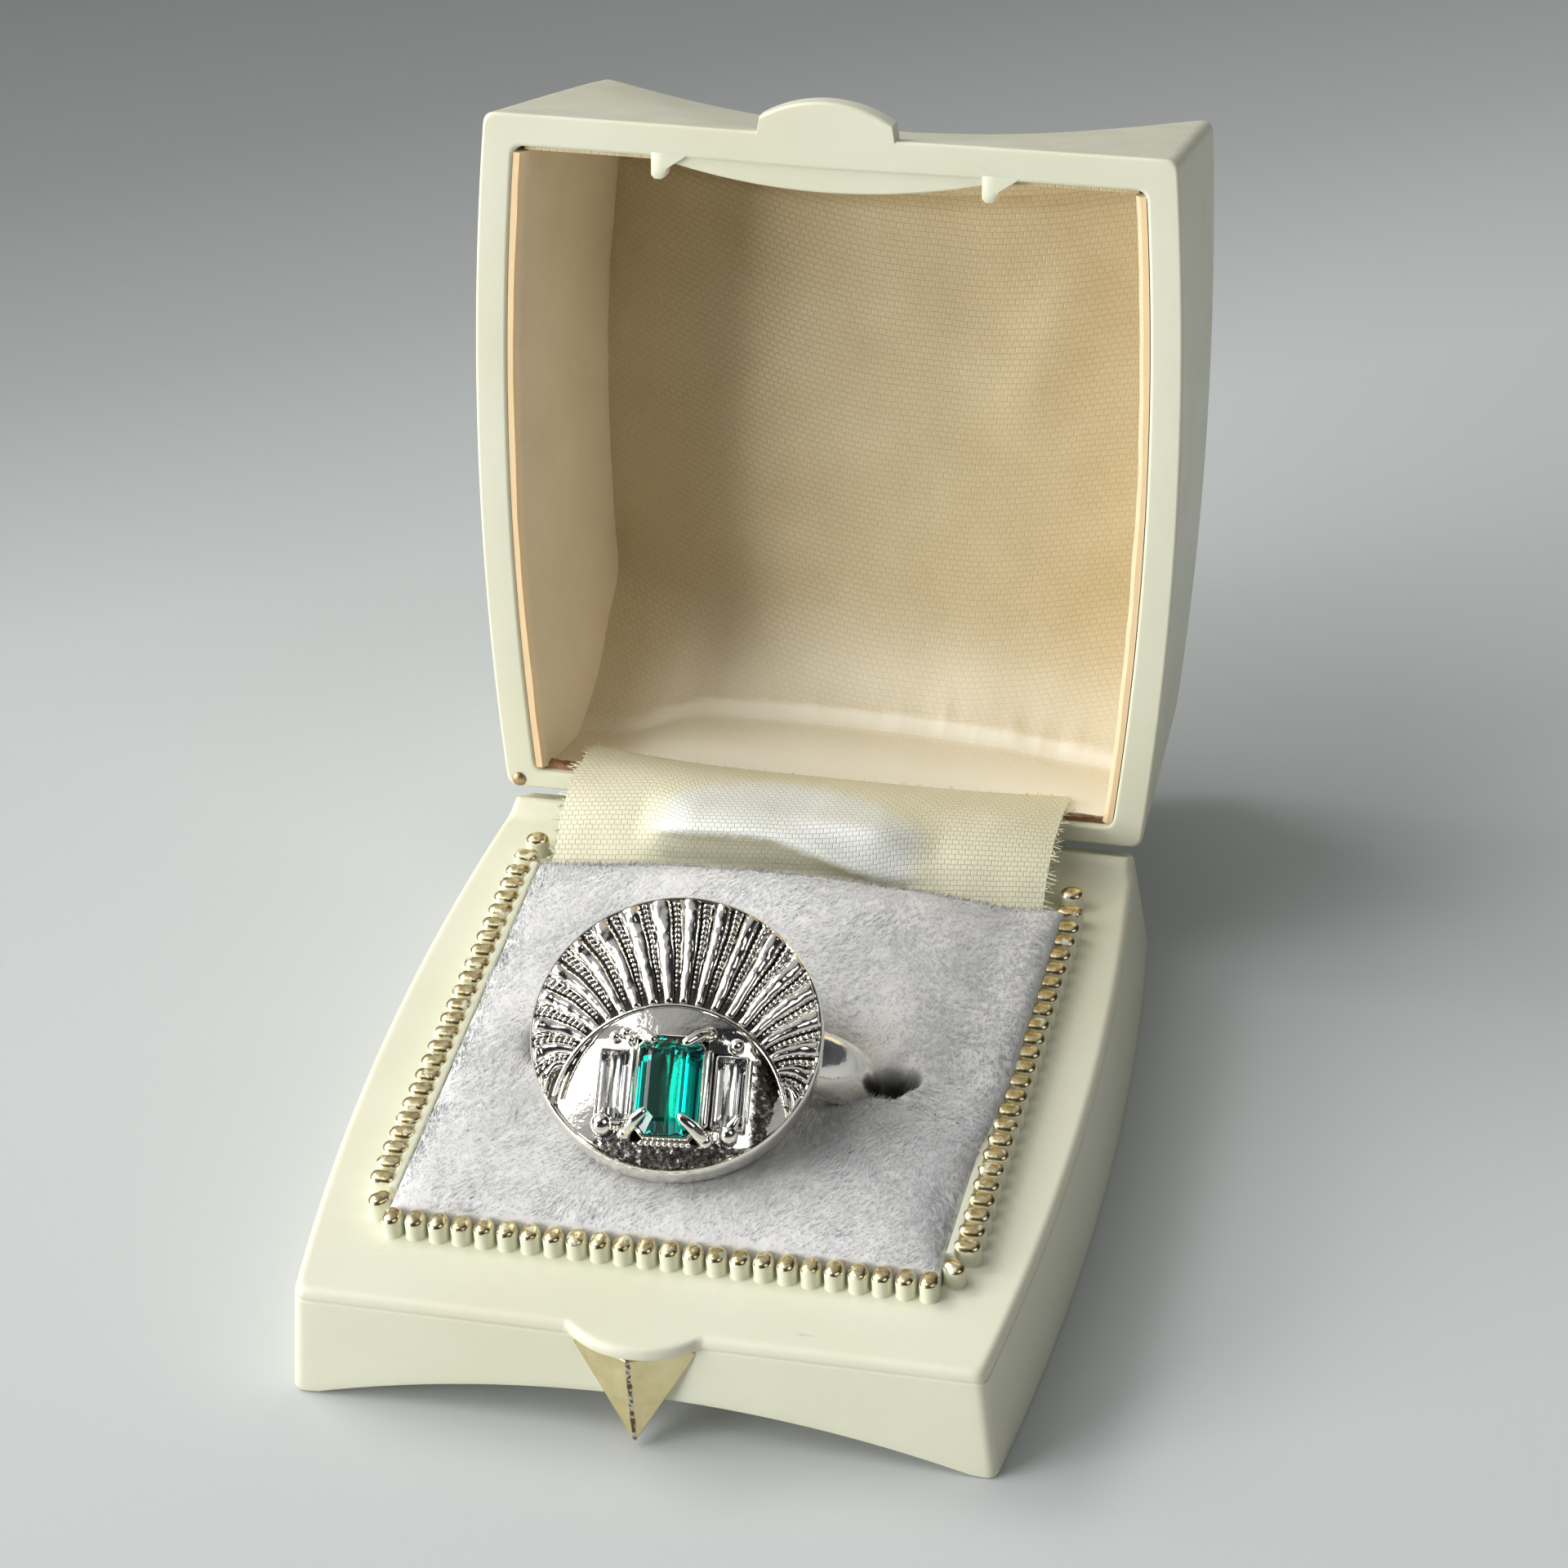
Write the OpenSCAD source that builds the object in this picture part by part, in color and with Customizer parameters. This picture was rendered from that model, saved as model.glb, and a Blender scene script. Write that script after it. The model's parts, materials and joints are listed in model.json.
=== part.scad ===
// An emerald cocktail ring standing in a cream plastic ring box with a hinged lid. All sizes are in mm.
// The origin is the middle of the box's underside. The front faces -Y, +Z is up, and the lid is open at rest.
// Lid parts are drawn in the closed lid's own frame, where z is the height over the lid's rim, and then opened.
// Head parts are drawn in the head's frame, where z is the height over the rim of the round head.

/* [Box base] */
// Half width of the base at the middle of its rim
base_half_w = 23.75; // [23.5:0.05:24]
// Height of the flat rim over the table
rim_z = 8.1; // [8:0.05:8.15]
// How far the sides lean out towards the foot, in degrees
base_lean = 5.9; // [5:0.1:6.5]
// Rise of the arch under the front edge
arch_rise = 3; // [2:0.1:3.4]
// Number of ribs along the front of the border
front_ribs = 24; // [18:1:24]
// Number of ribs along each side of the border
side_ribs = 23; // [18:1:23]

/* [Box lid] */
// How far the lid stands open, in degrees
lid_open = 106.5; // [0:0.5:106.5]
// Height of the lid in the middle of its dished roof
roof_h = 17.3; // [17:0.1:18]
// Thickness of the lid's side and front walls
lid_wall = 2.2; // [2:0.1:2.4]
// Thickness of the satin lining
lining_t = 1; // [0.6:0.1:1.1]

/* [Ring] */
// Radius of the finger hole
finger_r = 8; // [7.8:0.1:8.1]
// Radius of the round head
head_r = 9.35; // [9.2:0.05:9.5]
// Number of rays round the arch
ray_count = 19; // [13:2:19]

/* [Stones] */
// Length of the emerald
emerald_l = 6.6; // [6:0.1:6.8]
// Width of the emerald
emerald_w = 4; // [3.6:0.1:4.2]
// Length of each side stone
baguette_l = 4.5; // [4:0.1:4.8]
// Width of each side stone
baguette_w = 1.75; // [1.5:0.05:1.8]

/* [Hidden] */

cream = [0.89, 0.88, 0.78];
gold = [0.80, 0.72, 0.48];
satin = [0.85, 0.78, 0.62];
silver = [0.80, 0.80, 0.81];
diamond = [0.93, 0.95, 0.97];
// Longer than the whole box, for the bodies that only cut
big = 60;
// Clearance between two pieces, and how deep a raised detail is rooted
gap = 0.05;
root = 0.3;

// Plan of the base
base_side_r = 190;
front_foot_y = -25.1;
front_lean = 7;
base_back_y = 27.5;
base_wall = 1.6;

// The well that holds the pad
floor_t = 0.8;
well_half_x = 18;
well_front_y = -17;
well_back_y = 19;
well_wall = 1.2;

// The border of ribs round the well
rib_w = 1.16;
rib_l = 1.5;
rib_top_z = 9.6;
front_rib_y = -17.75;
front_rib_reach = 17.5;
side_rib_x = 19.05;
side_rib_y0 = -14.3;
side_rib_y1 = 17.2;
corner_rib_x = 18.75;
corner_rib_y = -16.3;
end_rib_y = 18.9;
large_rib_x = 18.8;
large_rib_y = 20.8;
large_rib_scale = 1.3;
rail_x = 18.25;
rail_w = 0.5;
rail_top_z = 9.4;

// The arch that is cut through the front and back walls
arch_r = 78.5;
arch_depth = 4.6;

// Hinge: a pin in two lugs of the base, and the lid's barrel turning on it in a groove
hinge_y = 25.55;
hinge_z = 8.05;
pin_r = 0.6;
pin_half_l = 21;
barrel_half_l = 18.9;
barrel_r = 1.2;
barrel_bore_r = 0.65;
barrel_web = [23.6, 25];
groove_r = 1.45;
groove_half_l = 19.2;
lug_half_l = 22;
lug_r = 1.2;

// Latch: a round tongue on the base with a folded gold triangle under it, and another over the lid's tab
tongue_r = 6.16;
tongue_y = -19.69;
tongue_t = 0.85;
ornament_half_w = 4.2;
ornament_proud = 1.7;
ornament_y = -24.2;
ornament_tip_z = 0.4;
ornament_lean = -2.1;
lid_ornament_h = 7;
lid_ornament_lean = 11;
lid_ornament_y = -23.9;

// Lid walls
rim_lift = 0.25;
lid_half_w = 24.35;
lid_side_r = 223;
lid_bulge_y = -4.63;
lid_lean = 4.6;
lid_front_y = -24.1;
lid_front_lean = 8;
lid_hollow_lean = 13.4;
lid_hollow_r = 102;
lid_back_y = 24.14;
lid_back_wall = 1.3;

// Lid roof, dished both ways
roof_t = 1.6;
roof_across_r = 78.5;
roof_along_r = 121;
roof_low_y = 5;
dish_z = roof_h + roof_along_r;

// Lid rim: the tab, the two catch pegs and the lip between them
tab_half_w = 4.55;
tab_tip_y = -26.4;
tab_r = 8.75;
tab_t = 1.6;
peg_x = [-11.4, 11.05];
peg_w = 1.2;
peg_t = 1.1;
peg_gusset = 2.2;
lip_y = -20.2;
lip_r = 44;
lip_half_w = 10.6;
lip_t = 0.7;
lip_root_y = -22.6;

// Soft parts
pad_half_x = 17.9;
pad_front_y = -16.95;
pad_back_y = 18.4;
pad_edge_z = 9.3;
pad_crown_z = 9.9;
slot_half_w = 2.5;
slot_r = [7.7, 10.3];
slit_reach = 12.3;
slit_w = 0.8;
panel_t = 0.8;
lining_from_h = 1.3;
panel_from_h = 0.15;
ribbon_half_w = 17.4;
ribbon_t = 0.6;
ribbon_start = [18.95, 8.85];
ribbon_bend = [21.5, 11.4];
ribbon_end_y = 21.1;
ribbon_end_h = 1.1;
ribbon_steps = 8;

// Ring: the band leans back in the pad's slot and carries the round head
band_c = [0.6, -0.8, 8.7];
band_turn = [34, 0, 3];
band_outer_r = 9.85;
band_round_r = 2.3;
band_rise = 1;
band_foot_half_w = 1.5;
band_head_half_w = 2.3;
band_top = 9.1;
head_c = [-1.198, -6.181, 17];
head_turn = [29.2, 0, 12.2];
head_spin = -5;
head_depth = 2.6;
head_edge = 0.5;
dome_h = 0.95;
dome_r = (head_r * head_r + dome_h * dome_h) / (2 * dome_h);

// Face of the head: an arch with the stones under it, and rays fanned outside it
arch_c_y = -6;
arch_line_r = 7.5;
arch_line_w = 0.35;
arch_line_h = 0.4;
ray_step = 12.4;
ray_fan = 1.38;
ray_tip_r = head_r - 0.35;
ray_root_r = 7.75;
ray_least_run = 0.6;
smooth_ray_r = [0.28, 0.46];
beaded_ray_r = [0.24, 0.34];

// Stones and what holds them
emerald_c = [0, -4];
emerald_girdle_z = 1.5;
baguette_left_c = [-3.6, -3.95];
baguette_right_c = [3.85, -4.1];
baguette_girdle_z = 1.05;
seat = [9.6, 5.2, 1];
collar = [4.6, 7, 1.3];
bar = [0.4, 5.2, 1.55];
bar_x = 2.45;
claw_r = 0.42;
claw_z = 1.7;
bead_r = 0.46;
bead_z = 1.35;
claws = [[-1.62, -1], [1.62, -1], [-1.75, -6.95], [1.75, -6.95]];
beads = [[-3.5, -1.2], [-3.85, -6.7], [3.95, -1.3], [3.75, -6.9]];

// Places its children as the open lid, from the closed lid's frame
module opened() {
    translate([0, hinge_y, hinge_z]) rotate([-lid_open, 0, 0]) translate([0, -hinge_y, rim_lift]) children();
}

// Where a point of the closed lid stands when the lid is open, as [y, z]
function opened_point(y, h) = [
    hinge_y + (y - hinge_y) * cos(lid_open) + (h + rim_lift) * sin(lid_open),
    hinge_z - (y - hinge_y) * sin(lid_open) + (h + rim_lift) * cos(lid_open)];

module on_head() {
    translate(head_c) rotate(head_turn) rotate([0, 0, head_spin]) children();
}

module on_band() {
    translate(band_c) rotate(band_turn) children();
}

// A cylinder along X, centred on it
module cross_bar(r, half_l) {
    rotate([0, 90, 0]) cylinder(r = r, h = 2 * half_l, center = true, $fn = 48);
}

// A bulged wall on +X: a very large leaning cylinder, whose skin is at x where y is bulge_y and z is 0
module bulged_side(x, bulge_y, r, lean) {
    translate([x, bulge_y, 0]) rotate([0, -lean, 0]) translate([-r, 0, -big])
        cylinder(r = r, h = 2 * big, $fn = 720);
}

// Everything behind a wall that stands at y where z is 0 and leans back by lean degrees
module behind(y, lean) {
    translate([0, y, 0]) rotate([-lean, 0, 0]) translate([-big, 0, -big]) cube([2 * big, 3 * big, 2 * big]);
}

// Outer form of the base, or the same form drawn in by inset
module base_form(inset) {
    intersection() {
        translate([-big, -big, -inset]) cube([2 * big, big + base_back_y - inset, rim_z]);
        translate([0, 0, rim_z]) bulged_side(base_half_w - inset, 0, base_side_r, base_lean);
        mirror([1, 0, 0]) translate([0, 0, rim_z]) bulged_side(base_half_w - inset, 0, base_side_r, base_lean);
        behind(front_foot_y + inset, front_lean);
    }
}

// One rib of the border: a short bar across it with a round top
module rib(x, y, turn, size) {
    top_r = rib_w * size / 2;
    translate([x, y, 0]) rotate([0, 0, turn]) {
        translate([-top_r, -rib_l / 2, rim_z - root])
            cube([2 * top_r, rib_l, rib_top_z - top_r - rim_z + root]);
        translate([0, 0, rib_top_z - top_r]) rotate([90, 0, 0])
            cylinder(r = top_r, h = rib_l, center = true, $fn = 24);
    }
}

module rib_border() {
    front_pitch = 2 * front_rib_reach / (front_ribs - 1);
    side_pitch = (side_rib_y1 - side_rib_y0) / (side_ribs - 1);
    for (i = [0 : front_ribs - 1]) rib(-front_rib_reach + i * front_pitch, front_rib_y, 0, 1);
    for (side = [-1, 1]) {
        for (i = [0 : side_ribs - 1]) rib(side * side_rib_x, side_rib_y0 + i * side_pitch, 90, 1);
        rib(side * corner_rib_x, corner_rib_y, side * 45, 1);
        rib(side * side_rib_x, end_rib_y, 90, 1);
        rib(side * large_rib_x, large_rib_y, 90, large_rib_scale);
        translate([side * rail_x - rail_w / 2, side_rib_y0, rim_z - root])
            cube([rail_w, side_rib_y1 - side_rib_y0, rail_top_z - rim_z + root]);
    }
}

// The tongue at the middle of the front rim, and the lugs that hold the hinge pin
module base_fittings() {
    intersection() {
        translate([0, tongue_y, rim_z - tongue_t]) cylinder(r = tongue_r, h = tongue_t, $fn = 96);
        translate([-big, -2 * big, 0]) cube([2 * big, 2 * big + front_foot_y + 2, big]);
    }
    for (side = [-1, 1])
        translate([side * (groove_half_l + lug_half_l) / 2, hinge_y, hinge_z])
            cross_bar(lug_r, (lug_half_l - groove_half_l) / 2);
}

// The hollow under the rim, open downwards, between the outer walls and the wall of the well
module base_hollow() {
    difference() {
        intersection() {
            base_form(base_wall);
            translate([-big, -big, -big]) cube([2 * big, big + well_back_y, 2 * big]);
        }
        translate([-well_half_x - well_wall, well_front_y - well_wall, -big])
            cube([2 * (well_half_x + well_wall), big, 2 * big]);
    }
}

module box_base() {
    color(cream) difference() {
        union() {
            base_form(0);
            rib_border();
            base_fittings();
        }
        translate([-well_half_x, well_front_y, floor_t])
            cube([2 * well_half_x, well_back_y - well_front_y, big]);
        base_hollow();
        for (y = [front_foot_y - 1, base_back_y - arch_depth])
            translate([0, y, arch_rise - arch_r]) rotate([-90, 0, 0])
                cylinder(r = arch_r, h = arch_depth + 1, $fn = 720);
        translate([0, hinge_y, hinge_z]) {
            cross_bar(groove_r, groove_half_l);
            cross_bar(pin_r, pin_half_l);
        }
    }
}

module hinge_pin() {
    color(gold) translate([0, hinge_y, hinge_z]) cross_bar(pin_r, pin_half_l);
}

// A folded triangle of metal, with its base at z 0, its tip at height and its ridge towards -Y
module folded_triangle(height, lean) {
    intersection() {
        rotate([-lean, 0, 0]) translate([0, 0, -1]) linear_extrude(height + 2)
            polygon([[-ornament_half_w, 3], [-ornament_half_w, 0], [0, -ornament_proud],
                [ornament_half_w, 0], [ornament_half_w, 3]]);
        rotate([90, 0, 0]) linear_extrude(8, center = true)
            polygon([[-ornament_half_w, 0], [ornament_half_w, 0], [0, height]]);
    }
}

module latch_ornament() {
    top_z = rim_z - tongue_t - gap;
    color(gold) difference() {
        translate([0, ornament_y, top_z]) mirror([0, 0, 1])
            folded_triangle(top_z - ornament_tip_z, ornament_lean);
        behind(front_foot_y - gap, front_lean);
    }
}

// A half space under a crowned skin: a barrel that touches the crown in the middle and the edges at half
module crown(half) {
    rise = pad_crown_z - pad_edge_z;
    r = (half * half + rise * rise) / (2 * rise);
    translate([0, 0, pad_crown_z - r]) rotate([90, 0, 0])
        cylinder(r = r, h = 2 * big, center = true, $fn = 720);
}

// The plush pad, crowned both ways, with the tilted round slot that holds the band and the slit across it
module pad() {
    depth = pad_back_y - pad_front_y;
    color("white") difference() {
        translate([0, pad_front_y + depth / 2, 0]) intersection() {
            translate([-pad_half_x, -depth / 2, floor_t + gap]) cube([2 * pad_half_x, depth, pad_crown_z]);
            crown(pad_half_x);
            rotate([0, 0, 90]) crown(depth / 2);
        }
        on_band() {
            rotate([90, 0, 0]) rotate_extrude($fn = 96)
                translate([slot_r[0], -slot_half_w]) square([slot_r[1] - slot_r[0], 2 * slot_half_w]);
            translate([-slit_reach, -slit_w / 2, -2]) cube([2 * slit_reach, slit_w, slit_reach]);
        }
    }
}

// The band: round outside, thicker at its shoulders and narrower towards its foot
module band() {
    intersection() {
        translate([0, 0, band_rise]) rotate([90, 0, 0]) rotate_extrude($fn = 128)
            translate([band_outer_r - band_round_r, 0]) circle(r = band_round_r, $fn = 64);
        rotate([90, 0, 90]) linear_extrude(2 * band_outer_r + 2, center = true)
            polygon([[-band_foot_half_w, -band_outer_r], [band_foot_half_w, -band_outer_r],
                [band_head_half_w, band_top], [-band_head_half_w, band_top]]);
    }
}

// Height of the dome over the head's rim, at distance d from its middle
function dome_z(d) = sqrt(dome_r * dome_r - d * d) - dome_r + dome_h;

// The large ball whose top is the dome, turned so that its poles lie clear of the head
module dome(grow) {
    translate([0, 0, dome_h - dome_r]) rotate([90, 0, 0]) sphere(r = dome_r + grow, $fn = 360);
}

// The round head: a low dome over a deep rim whose lower edge is eased
module head_body() {
    intersection() {
        dome(0);
        rotate_extrude($fn = 128)
            polygon([[0, -head_depth], [head_r - head_edge, -head_depth], [head_r, head_edge - head_depth],
                [head_r, dome_h], [0, 2 * dome_h]]);
    }
}

// One ray: a tapered round bar along the dome, from the arch to the rim
module ray(angle, radii) {
    root_angle = 90 + (angle - 90) / ray_fan;
    from = [ray_root_r * cos(root_angle), arch_c_y + ray_root_r * sin(root_angle)];
    to = [ray_tip_r * cos(angle), ray_tip_r * sin(angle)];
    run = [to[0] - from[0], to[1] - from[1], dome_z(norm(to)) - dome_z(norm(from))];
    if (norm(from) < ray_tip_r - ray_least_run)
        translate([from[0], from[1], dome_z(norm(from))])
            rotate([0, acos(run[2] / norm(run)), atan2(run[1], run[0])])
                cylinder(r1 = radii[0], r2 = radii[1], h = norm(run), $fn = 20);
}

module rays() {
    first = 90 - ray_step * (ray_count - 1) / 2;
    for (i = [0 : ray_count - 1]) {
        ray(first + i * ray_step, smooth_ray_r);
        ray(first + (i + 0.5) * ray_step, beaded_ray_r);
    }
}

// The raised line of the arch, which runs out at the rim
module arch_line() {
    intersection() {
        translate([0, arch_c_y, 0]) difference() {
            cylinder(r = arch_line_r, h = 3, $fn = 128);
            translate([0, 0, -1]) cylinder(r = arch_line_r - arch_line_w, h = 5, $fn = 128);
        }
        translate([0, 0, -1]) cylinder(r = head_r - 0.15, h = 4, $fn = 128);
        dome(arch_line_h);
    }
}

// A block on the head's dome, size [width, length, top height], centred on a place
module block(place, size) {
    translate([place[0] - size[0] / 2, place[1] - size[1] / 2, -0.5]) cube([size[0], size[1], size[2] + 0.5]);
}

// A post with a round top, as a claw or a bead
module post(place, r, z) {
    translate([place[0], place[1], 0]) {
        cylinder(r = r, h = z, $fn = 24);
        translate([0, 0, z]) sphere(r = r, $fn = 24);
    }
}

// The seats under the stones, the bars between them, and the claws and beads at their corners
module settings() {
    block(emerald_c, seat);
    block(emerald_c, collar);
    for (side = [-1, 1]) block([side * bar_x, emerald_c[1]], bar);
    for (place = claws) post(place, claw_r, claw_z);
    for (place = beads) post(place, bead_r, bead_z);
}

// The band and the head are soldered, so they are one solid, with a seat cut for each stone
module ring() {
    color(silver) difference() {
        union() {
            on_band() band();
            on_head() {
                head_body();
                rays();
                arch_line();
                settings();
            }
        }
        on_band() rotate([90, 0, 0]) cylinder(r = finger_r, h = 2 * big, center = true, $fn = 128);
        on_head() {
            emerald_cut(gap);
            baguette_cut(baguette_left_c, gap);
            baguette_cut(baguette_right_c, gap);
        }
    }
}

// The outline of a step cut at one height, a rectangle with cut corners, as eight points
function step_ring(l, w, c, z) = [
    [w / 2 - c, -l / 2, z], [w / 2, -l / 2 + c, z], [w / 2, l / 2 - c, z], [w / 2 - c, l / 2, z],
    [-w / 2 + c, l / 2, z], [-w / 2, l / 2 - c, z], [-w / 2, -l / 2 + c, z], [-w / 2 + c, -l / 2, z]];

// A step cut stone from a table of its outlines, lowest first, each row [length, width, cut corner, height]
module step_cut(rows) {
    last = len(rows) - 1;
    points = [for (row = rows) each step_ring(row[0], row[1], row[2], row[3])];
    bottom = [for (i = [0 : 7]) i];
    top = [for (i = [7 : -1 : 0]) last * 8 + i];
    walls = [for (k = [0 : last - 1], i = [0 : 7])
        [k * 8 + i, (k + 1) * 8 + i, (k + 1) * 8 + (i + 1) % 8, k * 8 + (i + 1) % 8]];
    polyhedron(points = points, faces = concat([bottom, top], walls), convexity = 2);
}

// The emerald, or the same form grown all round, which cuts its seat
module emerald_cut(grow) {
    l = emerald_l + 2 * grow;
    w = emerald_w + 2 * grow;
    translate([emerald_c[0], emerald_c[1], emerald_girdle_z]) step_cut([
        [l - 4.6, w - 3.2, 0.1, -1.45 - grow],
        [l - 2.2, w - 1.7, 0.4, -0.8 - grow],
        [l, w, 0.75, -0.08 - grow],
        [l, w, 0.75, 0.08 + grow],
        [l - 0.8, w - 0.75, 0.6, 0.42 + grow],
        [l - 1.8, w - 1.7, 0.45, 0.8 + grow]]);
}

// A side stone, or the same form grown all round
module baguette_cut(place, grow) {
    l = baguette_l + 2 * grow;
    w = baguette_w + 2 * grow;
    translate([place[0], place[1], baguette_girdle_z]) step_cut([
        [l - 1.6, w - 1.2, 0.06, -0.8 - grow],
        [l, w, 0.12, -0.08 - grow],
        [l, w, 0.12, 0.08 + grow],
        [l - 0.45, w - 0.5, 0.1, 0.32 + grow],
        [l - 1, w - 1, 0.06, 0.55 + grow]]);
}

module emerald() {
    color([0, 0.5, 0.4]) on_head() emerald_cut(0);
}

module baguette_left() {
    color(diamond) on_head() baguette_cut(baguette_left_c, 0);
}

module baguette_right() {
    color(diamond) on_head() baguette_cut(baguette_right_c, 0);
}

// The satin flap: a strip that rises from behind the pad, over the hinge and into the lid
module hinge_ribbon() {
    end = opened_point(ribbon_end_y, ribbon_end_h);
    line = [for (i = [0 : ribbon_steps]) let (t = i / ribbon_steps)
        (1 - t) * (1 - t) * ribbon_start + 2 * t * (1 - t) * ribbon_bend + t * t * end];
    across = [for (i = [0 : ribbon_steps])
        let (d = line[min(i + 1, ribbon_steps)] - line[max(i - 1, 0)]) [-d[1], d[0]] / norm(d) * ribbon_t / 2];
    color(satin) rotate([90, 0, 90]) linear_extrude(2 * ribbon_half_w, center = true)
        polygon(concat([for (i = [0 : ribbon_steps]) line[i] + across[i]],
            [for (i = [ribbon_steps : -1 : 0]) line[i] - across[i]]));
}

// A round body whose lower skin is the dish of the roof, low in the middle and high at the corners
module dish(grow) {
    translate([0, roof_low_y, dish_z]) rotate([0, 90, 0]) rotate_extrude($fn = 720) intersection() {
        translate([roof_along_r - roof_across_r, 0]) circle(r = roof_across_r + grow, $fn = 720);
        translate([0, -2 * big]) square(4 * big);
    }
}

// Form of the lid from height low up, drawn in by side, front, back and roof.
// Its front is hollow across, more so towards the roof.
module lid_form(side, front, back, roof, low) {
    difference() {
        intersection() {
            translate([-big, -big, low]) cube([2 * big, 2 * big, big / 2]);
            bulged_side(lid_half_w - side, lid_bulge_y, lid_side_r, lid_lean);
            mirror([1, 0, 0]) bulged_side(lid_half_w - side, lid_bulge_y, lid_side_r, lid_lean);
            behind(lid_front_y + front, lid_front_lean);
            mirror([0, 1, 0]) behind(-lid_back_y + back, lid_lean);
        }
        dish(roof);
        translate([0, lid_front_y + front, 0]) rotate([-lid_hollow_lean, 0, 0])
            translate([0, -lid_hollow_r, -big]) cylinder(r = lid_hollow_r, h = 2 * big, $fn = 720);
    }
}

// The tab at the middle of the lid's front rim, with an arched edge
module lid_tab() {
    intersection() {
        translate([0, tab_tip_y + tab_r, 0]) cylinder(r = tab_r, h = tab_t, $fn = 96);
        translate([-tab_half_w, tab_tip_y - 1, 0]) cube([2 * tab_half_w, lid_front_y + 1 - tab_tip_y + 1, tab_t]);
    }
}

// The barrel of the hinge and the web that joins it to the back wall
module lid_barrel() {
    translate([0, hinge_y, -rim_lift]) cross_bar(barrel_r, barrel_half_l);
    translate([-barrel_half_l, barrel_web[0], 0])
        cube([2 * barrel_half_l, barrel_web[1] - barrel_web[0], barrel_r - rim_lift]);
}

// The lip inside the front rim, and a catch peg with its gusset at each end of it
module front_lip() {
    intersection() {
        translate([0, lip_y - lip_r, 0]) cylinder(r = lip_r, h = lip_t, $fn = 360);
        translate([-lip_half_w, lip_root_y, 0]) cube([2 * lip_half_w, lip_y - lip_root_y + 1, lip_t]);
    }
    for (x = peg_x) {
        translate([x - peg_w / 2, lip_root_y, 0]) cube([peg_w, lip_y - lip_root_y, peg_t]);
        linear_extrude(peg_t)
            polygon([[x, lip_root_y], [x + peg_w / 2 + peg_gusset, lip_root_y], [x, lip_y]]);
    }
}

module lid_shell() {
    color(cream) opened() {
        difference() {
            union() {
                lid_form(0, 0, 0, 0, 0);
                lid_tab();
                lid_barrel();
            }
            lid_form(lid_wall, lid_wall, lid_back_wall, roof_t, -1);
            translate([0, hinge_y, -rim_lift]) cross_bar(barrel_bore_r, big / 2);
        }
        front_lip();
    }
}

// The satin over the lid's front, roof and back, between the two side panels
module lid_lining() {
    side = lid_wall + panel_t + 2 * gap;
    t = lining_t + gap;
    color(satin) opened() difference() {
        lid_form(side, lid_wall + gap, lid_back_wall + gap, roof_t + gap, lining_from_h);
        lid_form(-lid_wall, lid_wall + t, lid_back_wall + t, roof_t + t, -1);
    }
}

// The plain satin panel on the lid's wall at +X
module lining_panel() {
    t = lid_wall + gap;
    difference() {
        lid_form(t, t, lid_back_wall + gap, roof_t + gap, panel_from_h);
        lid_form(t + panel_t, -lid_wall, -lid_wall, -lid_wall, -1);
        mirror([1, 0, 0]) translate([-1, -big, -1]) cube([big, 2 * big, big]);
    }
}

module lining_panel_left() {
    color(satin) opened() mirror([1, 0, 0]) lining_panel();
}

module lining_panel_right() {
    color(satin) opened() lining_panel();
}

module lid_ornament() {
    color(gold) opened() difference() {
        translate([0, lid_ornament_y, tab_t + gap]) folded_triangle(lid_ornament_h, lid_ornament_lean);
        lid_form(0, -gap, 0, 0, 0);
    }
}

box_base();
latch_ornament();
hinge_pin();
pad();
ring();
emerald();
baguette_left();
baguette_right();
hinge_ribbon();
lid_shell();
lid_lining();
lining_panel_left();
lining_panel_right();
lid_ornament();
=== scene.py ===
"""An emerald cocktail ring in its open cream ring box: surfaces, floor, light and camera.

Points are in millimetres in the part's own frame until add_piece turns them into metres. A body is its points
and its faces. The lid and what is in it are drawn closed, with h as the height over the lid's rim, and then
opened. The ring's head is drawn in its own frame, with z as the height over its rim.
"""

import json
from math import cos, pi, radians, sin, sqrt, tan

import bmesh
import bpy
import numpy as np
from mathutils import Euler, Matrix, Vector, noise


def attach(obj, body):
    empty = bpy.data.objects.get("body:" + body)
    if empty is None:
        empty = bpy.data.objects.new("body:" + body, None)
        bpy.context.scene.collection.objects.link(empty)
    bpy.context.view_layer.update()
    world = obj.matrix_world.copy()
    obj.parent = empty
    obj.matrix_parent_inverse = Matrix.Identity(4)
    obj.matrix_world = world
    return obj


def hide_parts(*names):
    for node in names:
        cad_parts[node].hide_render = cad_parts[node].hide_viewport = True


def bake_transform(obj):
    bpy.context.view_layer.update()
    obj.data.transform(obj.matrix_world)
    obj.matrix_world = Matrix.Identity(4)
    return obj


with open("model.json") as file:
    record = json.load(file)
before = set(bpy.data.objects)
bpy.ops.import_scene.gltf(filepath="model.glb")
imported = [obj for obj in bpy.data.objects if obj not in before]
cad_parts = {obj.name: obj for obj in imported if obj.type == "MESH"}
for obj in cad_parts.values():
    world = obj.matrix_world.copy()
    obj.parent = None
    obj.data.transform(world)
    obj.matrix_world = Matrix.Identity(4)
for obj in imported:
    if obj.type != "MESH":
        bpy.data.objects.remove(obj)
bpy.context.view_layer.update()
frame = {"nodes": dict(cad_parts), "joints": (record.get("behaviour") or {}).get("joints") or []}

MM = 0.001
HINGE_Y, HINGE_Z = (v / MM for v in frame["joints"][0]["pos_m"][1:])
LID_OPEN = 106.5
RIM_LIFT = 0.25
EDGE = 0.45
EDGE_ARC = np.radians([22.5, 45, 67.5, 90])

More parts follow.
